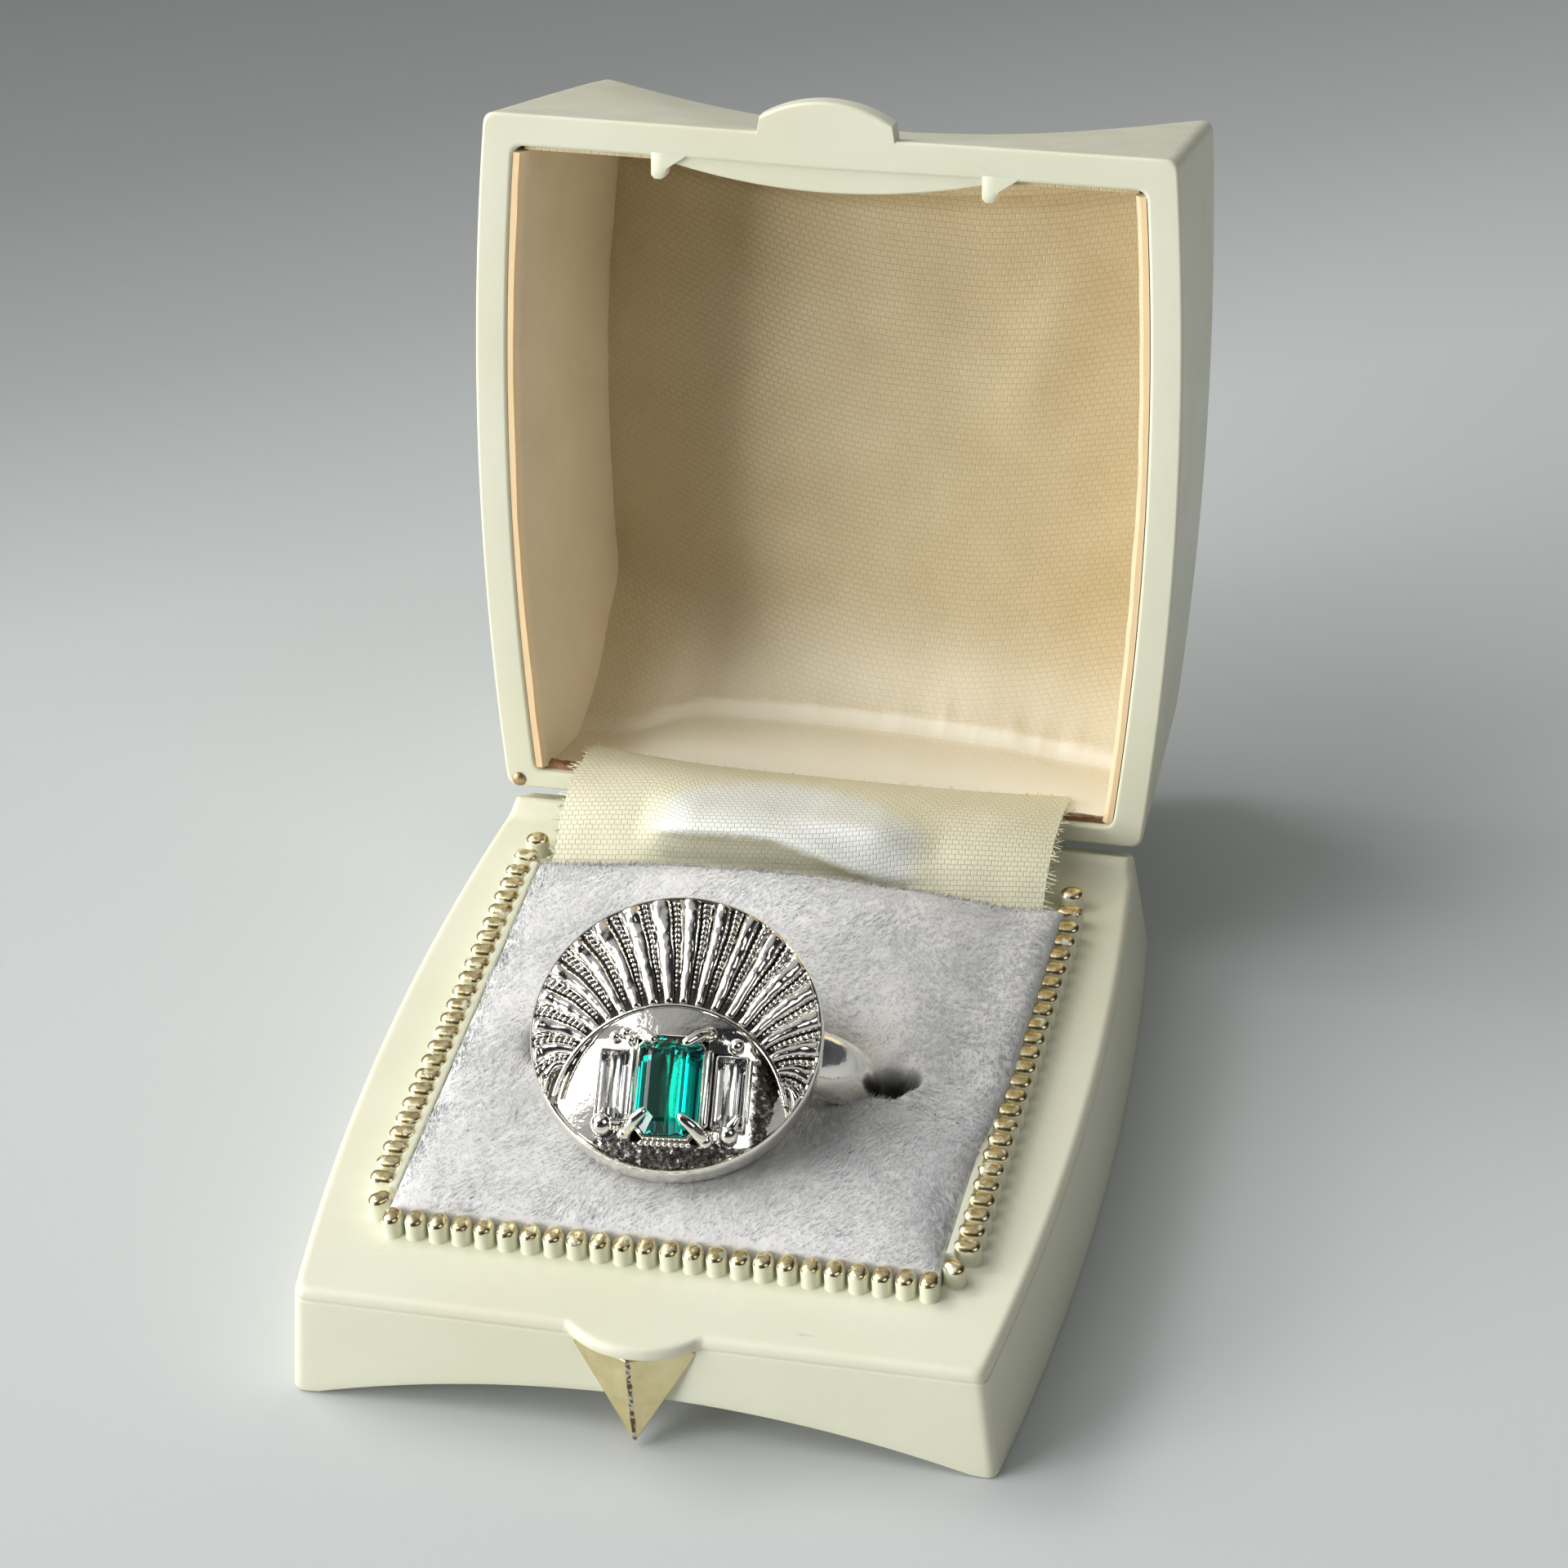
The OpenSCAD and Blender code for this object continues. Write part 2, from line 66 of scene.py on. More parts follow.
# Base of the box
BASE_HALF_W, BASE_SIDE_R, BASE_LEAN = 23.75, 190, tan(radians(5.9))
RIM_Z = 8.1
FRONT_FOOT_Y, FRONT_LEAN = -25.1, tan(radians(7))
BASE_BACK_Y, BASE_WALL = 27.5, 1.6
ARCH_R, ARCH_RISE = 78.5, 3
WELL_HALF_X, WELL_FRONT_Y, WELL_BACK_Y = 18, -17, 19
WELL_WALL, FLOOR_T = 1.2, 0.8
TONGUE_R, TONGUE_Y, TONGUE_T, TONGUE_HALF = 6.16, -19.69, 0.85, 4.3
RIDGE_Y, RIDGE_H, RIDGE_W = 25.6, 0.8, 0.75

# Border of ribs
RIB_W, RIB_L, SIDE_RIB_L, RIB_TOP, FOIL_Z = 1.26, 1.62, 1.85, 9.6, 9.34

# Lid
LID_HALF_W, LID_SIDE_R, LID_BULGE_Y, LID_LEAN = 24.35, 223, -4.63, tan(radians(4.6))
LID_FRONT_Y, LID_FRONT_LEAN = -24.1, tan(radians(8))
LID_HOLLOW_LEAN, LID_HOLLOW_R = tan(radians(13.4)), 102
LID_BACK_Y = 24.14
LID_WALL, LID_BACK_WALL, ROOF_T, RIM_EDGE = 2.2, 1.3, 1.6, 0.25
ROOF_H, ROOF_ACROSS_R, ROOF_ALONG_R, ROOF_LOW_Y = 17.3, 78.5, 121, 5
TAB_HALF_W, TAB_TIP_Y, TAB_R, TAB_T = 4.55, -26.4, 8.75, 1.6
LIP_Y, LIP_R, LIP_HALF_W, LIP_T, LIP_STEP = -20.2, 44, 10.6, 0.7, 0.3

# Soft parts
PAD_HALF_X, PAD_HALF_Y, PAD_Y, PAD_FOOT_Z = 17.95, 17.68, 0.72, 5
FIBRES, FIBRE_R = 47000, 0.036
LINING_IN, FOLD_Y, BACK_ROWS = 2.65, 22.3, 16
FLAP_HALF_W = 17.4

# Ring
BAND_C, BAND_TURN = (0.6, -0.8, 8.7), (34, 0, 3)
FINGER_R, BAND_OUTER_R, BAND_CROWN_R, BAND_RISE, BAND_TOP = 8, 9.85, 2.3, 1, 9.1
HEAD_C, HEAD_TURN, HEAD_SPIN = (-1.198, -6.181, 17), (29.2, 0, 12.2), -5
HEAD_R, DOME_H, FACE_R, FACE_FLOOR = 9.35, 0.95, 9.3, -0.72
DOME_R = (HEAD_R**2 + DOME_H**2) / (2 * DOME_H)
ARCH_C_Y, ARCH_LINE_R = -6, 7.5
RAY_STEP, RAY_FIRST, RAY_LOW, RAY_HIGH, RAY_FAN = 13.1, 88.3, -33, 213, 1.79
EMERALD_C, EMERALD_L, EMERALD_W, EMERALD_Z = (0, -4), 6.6, 4, 1.5
BAGUETTES = {"baguette_left": (-3.6, -3.95), "baguette_right": (3.85, -4.1)}
BAGUETTE_L, BAGUETTE_W, BAGUETTE_Z = 4.5, 1.75, 1.05

# Step cuts: length, width, cut corner and height over the girdle, lowest first
EMERALD_ROWS = [(5.3, 0.3, 0.08, -1.40), (5.6, 1.3, 0.25, -1.1), (5.95, 2.3, 0.4, -0.75),
                (6.3, 3.3, 0.55, -0.38), (6.6, 4, 0.75, -0.06), (6.6, 4, 0.75, 0.06), (5.9, 3.35, 0.62, 0.36),
                (5.3, 2.8, 0.52, 0.62), (4.8, 2.3, 0.45, 0.80)]
BAGUETTE_ROWS = [(3.9, 0.25, 0.05, -0.66), (4.2, 1.0, 0.09, -0.38), (4.5, 1.75, 0.12, -0.06),
                 (4.5, 1.75, 0.12, 0.06), (4.05, 1.25, 0.1, 0.32), (3.5, 0.75, 0.06, 0.55)]


# Shapes

def turn(x=0.0, y=0.0, z=0.0):
    """The rotation by x, then y, then z degrees."""
    return np.array(Euler([radians(v) for v in (x, y, z)]).to_matrix())


def opened(points):
    """Points of the closed lid, [x, y, h], where they stand with the lid open."""
    x, y, h = np.moveaxis(np.asarray(points, float), -1, 0)
    c, s, back, up = cos(radians(LID_OPEN)), sin(radians(LID_OPEN)), y - HINGE_Y, h + RIM_LIFT
    return np.stack([x, HINGE_Y + back * c + up * s, HINGE_Z - back * s + up * c], -1)


def on_head(points):
    """Points of the head's frame in the part's frame."""
    return np.asarray(points, float) @ (turn(*HEAD_TURN) @ turn(z=HEAD_SPIN)).T + HEAD_C


def on_band(points):
    return np.asarray(points, float) @ turn(*BAND_TURN).T + BAND_C


def ease(low, high, value):
    """0 up to low, 1 from high on, and a smooth step between."""
    t = np.clip((np.asarray(value, float) - low) / (high - low), 0, 1)
    return t * t * (3 - 2 * t)


def bump(value, centre, width):
    return np.exp(-(((np.asarray(value, float) - centre) / width) ** 2))


def cloudy(points, size, octaves=3, seed=0.0):
    """Smooth noise from about -1 to 1 at points in mm, with the largest lumps of that size."""
    flat = np.asarray(points, float).reshape(-1, 3) / size + seed
    values = [noise.fractal(Vector(p), 1.0, 2.0, octaves) for p in flat]
    return np.array(values).reshape(np.asarray(points).shape[:-1])


def bend(start, peak, end, t):
    """Points at the shares t of a curve from start to end that leans to peak."""
    return (1 - t) ** 2 * start + 2 * t * (1 - t) * peak + t**2 * end


def circle(steps):
    angle = np.linspace(0, 2 * pi, steps, endpoint=False)
    return np.stack([np.cos(angle), np.sin(angle)], -1)


def at_height(plan, z):
    """Points [x, y] with the height z."""
    return np.column_stack([plan, np.full(len(plan), z)])


def grid_faces(rows, columns, closed=False, wrapped=False, start=0):
    """Quads over a grid of points, its columns joined into a loop if closed and its rows if wrapped."""
    r, c = np.meshgrid(np.arange(rows - (not wrapped)), np.arange(columns - (not closed)), indexing="ij")
    below, after = (r + 1) % rows * columns, (c + 1) % columns
    quads = np.stack([r * columns + c, r * columns + after, below + after, below + c], -1)
    return (quads.reshape(-1, 4) + start).tolist()


def rim_of(grid):
    """Numbers of a grid's outer points in order, and of the next ones."""
    index = np.arange(grid.shape[0] * grid.shape[1]).reshape(grid.shape[:2])
    rim = np.concatenate([index[0, :], index[1:, -1], index[-1, -2::-1], index[-2:0:-1, 0]])
    return rim, np.roll(rim, -1)


def tube(rings):
    """A body through rings of points, with a fan over each end."""
    rings = np.asarray(rings, float)
    count, size = rings.shape[:2]
    faces = grid_faces(count, size, closed=True)
    end = (count - 1) * size
    for k in range(size):
        after = (k + 1) % size
        faces += [[count * size, after, k], [count * size + 1, end + k, end + after]]
    return np.concatenate([rings.reshape(-1, 3), [rings[0].mean(0)], [rings[-1].mean(0)]]), faces


def hoop(loops):
    """A body through loops of points, the last joined to the first."""
    loops = np.asarray(loops, float)
    return loops.reshape(-1, 3), grid_faces(*loops.shape[:2], closed=True, wrapped=True)


def slab(top, bottom):
    """A closed sheet between two grids of points."""
    rows, columns = top.shape[:2]
    under = rows * columns
    rim, after = rim_of(top)
    faces = grid_faces(rows, columns) + [face[::-1] for face in grid_faces(rows, columns, start=under)]
    faces += np.stack([after, rim, rim + under, after + under], -1).tolist()
    return np.concatenate([top.reshape(-1, 3), bottom.reshape(-1, 3)]), faces


def face_slab(top, depth):
    """A body under a grid of points: its lower side is one flat-edged face, out of sight in the head."""
    rows, columns = top.shape[:2]
    rim, after = rim_of(top)
    below = top.reshape(-1, 3)[rim]
    below[:, 2] = depth
    k = rows * columns + np.arange(len(rim))
    faces = grid_faces(rows, columns) + np.stack([after, rim, k, np.roll(k, -1)], -1).tolist() + [k.tolist()]
    return np.concatenate([top.reshape(-1, 3), below]), faces


def ball(centre, radius, squeeze=1.0, steps=16):
    """A round bead, its height drawn in by squeeze."""
    turns = np.linspace(0.12 - pi / 2, pi / 2 - 0.12, steps // 2 + 1)
    x, y, z = centre
    return tube([at_height(radius * cos(b) * circle(steps) + [x, y], z + squeeze * radius * sin(b))
                 for b in turns])


def round_bar(a, b, radius_a, radius_b, steps=12):
    """A tapered bar with rounded ends between two points."""
    a, b = np.array(a, float), np.array(b, float)
    along = (b - a) / np.linalg.norm(b - a)
    side = np.cross(along, [0.3, 0.5, 0.8])
    side /= np.linalg.norm(side)
    around = circle(steps) @ [side, np.cross(along, side)]
    rings = []
    for share, part in ((0, 0.25), (0, 0.75), (0, 1), (0.5, 1), (1, 1), (1, 0.75), (1, 0.25)):
        radius = radius_a + (radius_b - radius_a) * share
        beyond = radius * sqrt(1 - part**2) * (1 if share else -1)
        rings.append(a + (b - a) * share + along * beyond + around * radius * part)
    return tube(rings)


def joined(bodies):
    """Several bodies as one."""
    points, faces, start = [], [], 0
    for some, theirs in bodies:
        points.append(some)
        faces += [[i + start for i in face] for face in theirs]
        start += len(some)
    return np.concatenate(points), faces


def add_piece(name, body, material, ride_on, replaced=(), masks=None, crease=40):
    """A mesh from a body in mm, smooth below the crease angle. It rides on one of the part's bodies."""
    mesh = bpy.data.meshes.new(name)
    mesh.from_pydata((np.asarray(body[0]) * MM).tolist(), [], body[1])
    shape = bmesh.new()
    shape.from_mesh(mesh)
    bmesh.ops.recalc_face_normals(shape, faces=shape.faces)
    shape.to_mesh(mesh)
    shape.free()
    for mask, values in (masks or {}).items():
        attribute = mesh.attributes.new(mask, "FLOAT", "POINT")
        attribute.data.foreach_set("value", np.asarray(values, np.float32))
    mesh.materials.append(material)
    mesh.shade_smooth()
    mesh.set_sharp_from_angle(angle=radians(crease))
    piece = bpy.data.objects.new(name, mesh)
    bpy.context.scene.collection.objects.link(piece)
    if ride_on:
        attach(piece, ride_on)
    if replaced:
        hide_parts(*replaced)
    return piece


def even_normals(piece):
    """Keeps flat faces flat beside their rounded edges."""
    piece.modifiers.new("even_normals", "WEIGHTED_NORMAL").keep_sharp = True


# Materials

class Paint:
    """The nodes of a material or of the world, which end in one shader."""

    def __init__(self, owner, shader, place):
        owner.use_nodes = True
        self.owner, self.tree = owner, owner.node_tree
        self.shader = self.tree.nodes[shader]
        self.place = self.node("ShaderNodeTexCoord").outputs[place]

    def feed(self, node, sockets):
        """Sets or links a node's sockets, which are named by number or by words joined with _."""
        for name, value in sockets.items():
            socket = node.inputs[name.replace("_", " ") if isinstance(name, str) else name]
            if isinstance(value, bpy.types.NodeSocket):
                self.tree.links.new(value, socket)
            else:
                socket.default_value = value
        return node

    def node(self, kind, settings=(), **sockets):
        made = self.tree.nodes.new(kind)
        for setting, value in dict(settings).items():
            setattr(made, setting, value)
        return self.feed(made, sockets)

    def set(self, **sockets):
        self.feed(self.shader, sockets)
        return self.owner

    def noise(self, pitch, detail, rough=0.5, stretch=(1, 1, 1)):
        """Noise from 0 to 1 whose lumps are pitch mm across, drawn out along the axes by stretch."""
        scaled = self.node("ShaderNodeMapping", Vector=self.place, Scale=tuple(1 / s for s in stretch))
        return self.node("ShaderNodeTexNoise", Vector=scaled.outputs[0], Scale=1 / (pitch * MM),
                         Detail=detail, Roughness=rough).outputs["Fac"]

    def ramp(self, value, *stops):
        """Colours along value; each stop is a place and a colour or a grey."""
        made = self.node("ShaderNodeValToRGB", Fac=value)
        elements = made.color_ramp.elements
        while len(elements) < len(stops):
            elements.new(0.5)
        for element, (at, colour) in zip(elements, stops):
            element.position = at
            element.color = (*(colour if isinstance(colour, tuple) else (colour,) * 3), 1)
        return made.outputs["Color"]

    def drift(self, pitch, detail, low, high, rough=0.5, at=(0.3, 0.7)):
        """A colour or a grey that drifts from low to high with noise."""
        return self.ramp(self.noise(pitch, detail, rough), (at[0], low), (at[1], high))

    def mix(self, amount, a, b):
        """Colour a where amount is 0 and b where it is 1."""
        a, b = ((*v, 1) if isinstance(v, tuple) else v for v in (a, b))
        made = self.node("ShaderNodeMix", {"data_type": "RGBA"})
        return self.feed(made, {0: amount, 6: a, 7: b}).outputs[2]

    def math(self, operation, a, b=0.5):
        return self.feed(self.node("ShaderNodeMath", {"operation": operation}), {0: a, 1: b}).outputs[0]

    def mask(self, name):
        return self.node("ShaderNodeAttribute", {"attribute_name": name}).outputs["Fac"]

    def axis(self, name):
        """The place's x, y or z, which a material has in metres."""
        return self.node("ShaderNodeSeparateXYZ", Vector=self.place).outputs[name]

    def bump(self, height, depth, **under):
        """Relief: height is from 0 to 1, depth in mm, and Normal may be the relief under it."""
        made = self.node("ShaderNodeBump", Height=height, Distance=depth * MM, Strength=1.0, **under)
        return made.outputs[0]


def new_paint(name, **sockets):
    paint = Paint(bpy.data.materials.new(name), "Principled BSDF", "Object")
    paint.set(**sockets)
    return paint


def cream_plastic():
    paint = new_paint("cream_plastic", IOR=1.5, Subsurface_Weight=0.1, Subsurface_Scale=0.002)
    clouds = paint.drift(14, 3, (0.78, 0.775, 0.59), (0.82, 0.82, 0.66), at=(0.35, 0.65))
    scratch = paint.ramp(paint.noise(1.1, 2, 0.4, (3.2, 0.8, 1)), (0.75, 0.0), (0.80, 0.5))
    scuffs = paint.math("MULTIPLY", scratch, paint.drift(6, 1, 0.0, 1.0, at=(0.58, 0.64)))
    relief = paint.bump(paint.noise(9, 1), 0.05, Normal=paint.bump(paint.noise(0.9, 2), 0.012))
    return paint.set(Base_Color=paint.mix(scuffs, clouds, (0.33, 0.32, 0.27)),
                     Roughness=paint.drift(3, 4, 0.32, 0.45), Normal=relief)


def rib_foil():
    """Cream plastic whose rounded tops carry gold foil, worn through here and there."""
    paint = new_paint("rib_foil", IOR=1.5)
    height = paint.math("ADD", paint.axis("Z"), paint.math("MULTIPLY", paint.noise(0.5, 2), 0.0003))
    over = paint.math("MULTIPLY", paint.math("SUBTRACT", height, FOIL_Z * MM), 4 / MM)
    foil = paint.math("MULTIPLY", paint.ramp(over, (0.46, 0.0), (0.56, 1.0)),
                      paint.drift(0.8, 3, 1.0, 0.1, at=(0.56, 0.66)))
    tone = paint.drift(0.6, 3, (0.50, 0.40, 0.20), (0.86, 0.74, 0.44), at=(0.35, 0.62))
    return paint.set(Base_Color=paint.mix(foil, (0.80, 0.795, 0.62), tone), Metallic=foil,
                     Roughness=paint.ramp(foil, (0, 0.36), (1, 0.24)),
                     Normal=paint.bump(paint.noise(0.35, 2), 0.02))


def gold_metal():
    """Pale gold plate, worn to dark metal in a thin line along the fold."""
    paint = new_paint("gold_metal", IOR=1.5, Metallic=1.0)
    ragged = paint.math("SUBTRACT", paint.math("ABSOLUTE", paint.axis("X")),
                        paint.math("MULTIPLY", paint.noise(0.6, 4, 0.7), 0.00024))
    worn = paint.ramp(paint.math("MULTIPLY", ragged, 1 / MM), (0.0, 1.0), (0.05, 0.0))
    plate = paint.drift(1.5, 3, (0.76, 0.65, 0.34), (0.90, 0.79, 0.47))
    bare = paint.drift(0.35, 2, (0.16, 0.10, 0.06), (0.62, 0.60, 0.56), at=(0.45, 0.58))
    return paint.set(Base_Color=paint.mix(worn, plate, bare), Roughness=paint.drift(0.8, 3, 0.26, 0.42),
                     Normal=paint.bump(paint.noise(0.5, 3), 0.012))


def mottled(name, low, high, pitches, rough, depth, **sockets):
    """A plain surface. The pitches are those of its colour, roughness and relief."""
    paint = new_paint(name, IOR=1.5, **sockets)
    return paint.set(Base_Color=paint.drift(pitches[0], 4, low, high),
                     Roughness=paint.drift(pitches[1], 3, *rough),
                     Normal=paint.bump(paint.noise(pitches[2], 3), depth))


def plush():
    """White plush. Two masks paint shade on it: a brown painted shadow of the head on the slope beside the
    band, and painted shade, nearly black, in the mouths where the band pulls the pad open.
    """
    paint = new_paint("plush", IOR=1.4, Sheen_Weight=0.35, Sheen_Roughness=0.5, Subsurface_Weight=0.1,
                      Subsurface_Scale=0.001)
    tone = paint.drift(3.0, 5, (0.71, 0.71, 0.70), (0.78, 0.775, 0.765), 0.65)
    # Painted shadow of the head, brown, on the slope beside the band; then painted shade, nearly black, in
    # the mouths of the band's slot.
    tone = paint.mix(paint.math("MULTIPLY", paint.mask("painted_shadow"), 0.75), tone, (0.42, 0.37, 0.30))
    tone = paint.mix(paint.mask("hole"), tone, (0.012, 0.011, 0.01))
    relief = paint.bump(paint.noise(0.35, 4, 0.7, (1, 1.8, 1)), 0.05)
    relief = paint.bump(paint.noise(1.6, 4, 0.6), 0.12, Normal=relief)
    return paint.set(Base_Color=tone, Roughness=paint.drift(1.0, 2, 0.85, 1.0), Normal=relief)


def silver():
    """Polished silver. The mask named groove darkens it where it was antiqued."""
    paint = new_paint("silver", IOR=1.5, Metallic=1.0)
    ragged = paint.math("MULTIPLY", paint.math("SUBTRACT", paint.noise(0.3, 3, 0.7), 0.5), 1.2)
    groove = paint.ramp(paint.math("ADD", paint.mask("groove"), ragged), (0.3, 0.0), (0.7, 1.0))
    polish = paint.drift(1.2, 4, (0.90, 0.88, 0.82), (0.97, 0.95, 0.89))
    relief = paint.bump(paint.noise(1.6, 4, 0.6), 0.035)
    relief = paint.bump(paint.noise(0.25, 2), 0.006, Normal=relief)
    pits = paint.math("MULTIPLY", paint.mask("groove"), paint.noise(0.2, 3, 0.7))
    return paint.set(Base_Color=paint.mix(groove, polish, (0.07, 0.06, 0.05)),
                     Roughness=paint.ramp(groove, (0, 0.09), (1, 0.42)),
                     Normal=paint.bump(pits, 0.05, Normal=relief))


def glass(name, ior, low, high):
    paint = new_paint(name, IOR=ior, Transmission_Weight=1.0, Roughness=0.0)
    return paint.set(Base_Color=paint.drift(2.2, 2, low, high))


def satin(name, dark, light, edge, row=0.42, slant=0.0, gap_tint=0.16, plain_edge=True, soil=None):
    """Satin with fine rows of short floats. The masks named across and along are places on the cloth in mm.
    The mask named edge has another colour, with no weave there if plain_edge: on the panels the card's own
    edge, on the lining a painted highlight along the fold and on the flap painted sheen. A third mask, if
    given, lays a third colour on it as painted shade."""
    paint = new_paint(name, IOR=1.5, Metallic=0.16)
    cloth = paint.node("ShaderNodeCombineXYZ", X=paint.mask("across"), Y=paint.mask("along")).outputs[0]
    turned = paint.node("ShaderNodeMapping", Vector=cloth, Rotation=(0.0, 0.0, radians(slant)))
    wander = paint.node("ShaderNodeTexNoise", Vector=cloth, Scale=0.35, Detail=2.0)
    shaken = paint.node("ShaderNodeMixRGB", {"blend_type": "LINEAR_LIGHT"}, Fac=0.06,
                        Color1=turned.outputs[0], Color2=wander.outputs["Color"])
    gaps = paint.node("ShaderNodeTexBrick", Vector=shaken.outputs[0], Scale=1.0, Mortar_Size=0.16 * row,
                      Mortar_Smooth=1.0, Brick_Width=1.25 * row, Row_Height=row).outputs["Fac"]
    if plain_edge:
        gaps = paint.math("MULTIPLY", gaps, paint.math("SUBTRACT", 1.0, paint.mask("edge")))
    # On the lining and the flap this colour is a painted highlight and painted sheen; on the panels it is the
    # card's own edge.
    colour = paint.mix(paint.mask("edge"), paint.drift(6, 3, dark, light), edge)
    # Painted shade, in a third colour, where that mask is given.
    if soil:
        colour = paint.mix(paint.mask("soil"), colour, soil)
    colour = paint.mix(paint.math("MULTIPLY", gaps, gap_tint), colour, tuple(0.55 * v for v in dark))
    relief = paint.bump(paint.math("SUBTRACT", 1.0, gaps), 0.022)
    return paint.set(Base_Color=colour, Roughness=paint.drift(1.2, 2, 0.54, 0.64),
                     Normal=paint.bump(paint.noise(4, 2), 0.10, Normal=relief))


def floor_paper():
    """Pale paper with painted shade: darker towards the back, and more so on the left, where the light falls
    off.
    """
    paint = new_paint("floor_paper")
    far = paint.math("SUBTRACT", paint.axis("Y"), paint.math("MULTIPLY", paint.axis("X"), 0.55))
    far = paint.math("MULTIPLY", paint.math("SUBTRACT", far, 0.03), 5.0)
    # Painted shade: the ramp darkens the paper where the light falls off, far back and on the left.
    tone = paint.ramp(far, (0.0, (0.575, 0.60, 0.60)), (0.28, (0.51, 0.54, 0.54)),
                      (0.48, (0.33, 0.345, 0.345)), (0.66, (0.22, 0.23, 0.23)), (0.95, (0.125, 0.13, 0.132)))
    return paint.set(Base_Color=tone, Roughness=paint.drift(5, 2, 0.7, 0.8),
                     Normal=paint.bump(paint.noise(0.8, 2), 0.01))


CREAM = cream_plastic()
FOIL = rib_foil()
GOLD = gold_metal()
PIN = mottled("pin_metal", (0.30, 0.20, 0.10), (0.55, 0.42, 0.24), (0.6, 0.4, 0.3), (0.3, 0.55), 0.02,
              Metallic=1.0)
# A dark brown for painted shade in the pockets under the lining.
POCKET_SHADE = mottled("painted_pocket_shade", (0.16, 0.075, 0.03), (0.40, 0.22, 0.10), (0.8, 0.5, 0.5), (0.3, 0.6), 0.08)
PLUSH = plush()
SILVER = silver()
EMERALD = glass("emerald_glass", 1.58, (0.0, 0.66, 0.52), (0.0, 0.78, 0.64))
CLEAR = glass("clear_glass", 1.62, (0.95, 0.95, 0.97), (0.99, 0.99, 1.0))
# The lining's edge colour is a painted highlight along its fold.
LINING = satin("lining_satin", (0.65, 0.54, 0.335), (0.71, 0.60, 0.39), (0.99, 0.97, 0.85), slant=-7)
PANEL = satin("panel_satin", (0.86, 0.75, 0.56), (0.92, 0.81, 0.62), (0.98, 0.74, 0.44), row=0.3)
# The flap's edge colour is painted sheen on its hump, and its third colour is painted shade under the hump.
FLAP = satin("flap_satin", (0.78, 0.75, 0.55), (0.84, 0.81, 0.62), (0.86, 0.90, 0.90), row=0.36, slant=-5,
             gap_tint=0.45, plain_edge=False, soil=(0.40, 0.385, 0.31))


# Outlines of the box and its lid: fixed x, and the steps behind the last fixed y

FIXED_Y = np.arange(-16, 18.1, 1.5)
EVEN_X = np.arange(-17, 17.1, 1)
TONGUE_X = [*np.linspace(-4.3, 4.3, 21), -4.6, 4.6]
TAB_LIP_X = [*np.linspace(-4.5, 4.5, 19), -10.75, -10.55, 10.55, 10.75, -4.68, 4.68]
BASE_PLAN, LID_PLAN = ((np.unique(np.round([*EVEN_X, *more], 3)), steps)
                       for more, steps in ((TONGUE_X, 26), (TAB_LIP_X, 4)))
CORNER_SHARES = np.linspace(0, 1, 6)[1:-1, None]


def stepped(low, high, fixed, low_steps, high_steps):
    """Fixed places, with even steps from them to both ends."""
    return np.concatenate([np.linspace(low, fixed[0], low_steps + 1)[:-1], fixed,
                           np.linspace(fixed[-1], high, high_steps + 1)[1:]])


def meet(half_width, end):
    """The corner where an outline's side meets its front or back."""
    x = 20.0
    for _ in range(6):
        x = float(half_width(end(x)))
    return x, float(end(x))


def outline(plan, half_width, front, back, corner):
    """Points [x, y] round a form, from its left front corner to the right. half_width(y), front(x) and
    back(x) give its sides. The second result is 1 on the front, -1 on the back and 0 on the sides."""
    fixed_x, back_steps = plan
    (front_x, front_y), (back_x, back_y) = (meet(half_width, end) for end in (front, back))
    fx, bx = (stepped(corner - x, x - corner, fixed_x, 6, 6) for x in (front_x, back_x))
    y = stepped(front_y + corner, back_y - corner, FIXED_Y, 4, back_steps)
    right = np.stack([half_width(y), y], -1)
    lines = [(np.stack([fx, front(fx)], -1), 1, (front_x, front_y), 1), (right, 0, (back_x, back_y), -1),
             (np.stack([bx, back(bx)], -1)[::-1], -1, (-back_x, back_y), -1),
             (right[::-1] * [-1, 1], 0, (-front_x, front_y), 1)]
    points, sides = [], []
    for k, (line, side, peak, corner_side) in enumerate(lines):
        rounded = bend(line[-1], peak, lines[(k + 1) % 4][0][0], CORNER_SHARES)
        points += [line, rounded]
        sides += [side] * len(line) + [corner_side] * len(rounded)
    return np.concatenate(points), np.array(sides)


def straight(value):
    return lambda place: value + 0 * np.asarray(place)


def arch(x):
    """Height of the arch under the front and back walls."""
    return np.maximum(0.0, np.sqrt(ARCH_R**2 - np.square(x)) - ARCH_R + ARCH_RISE)


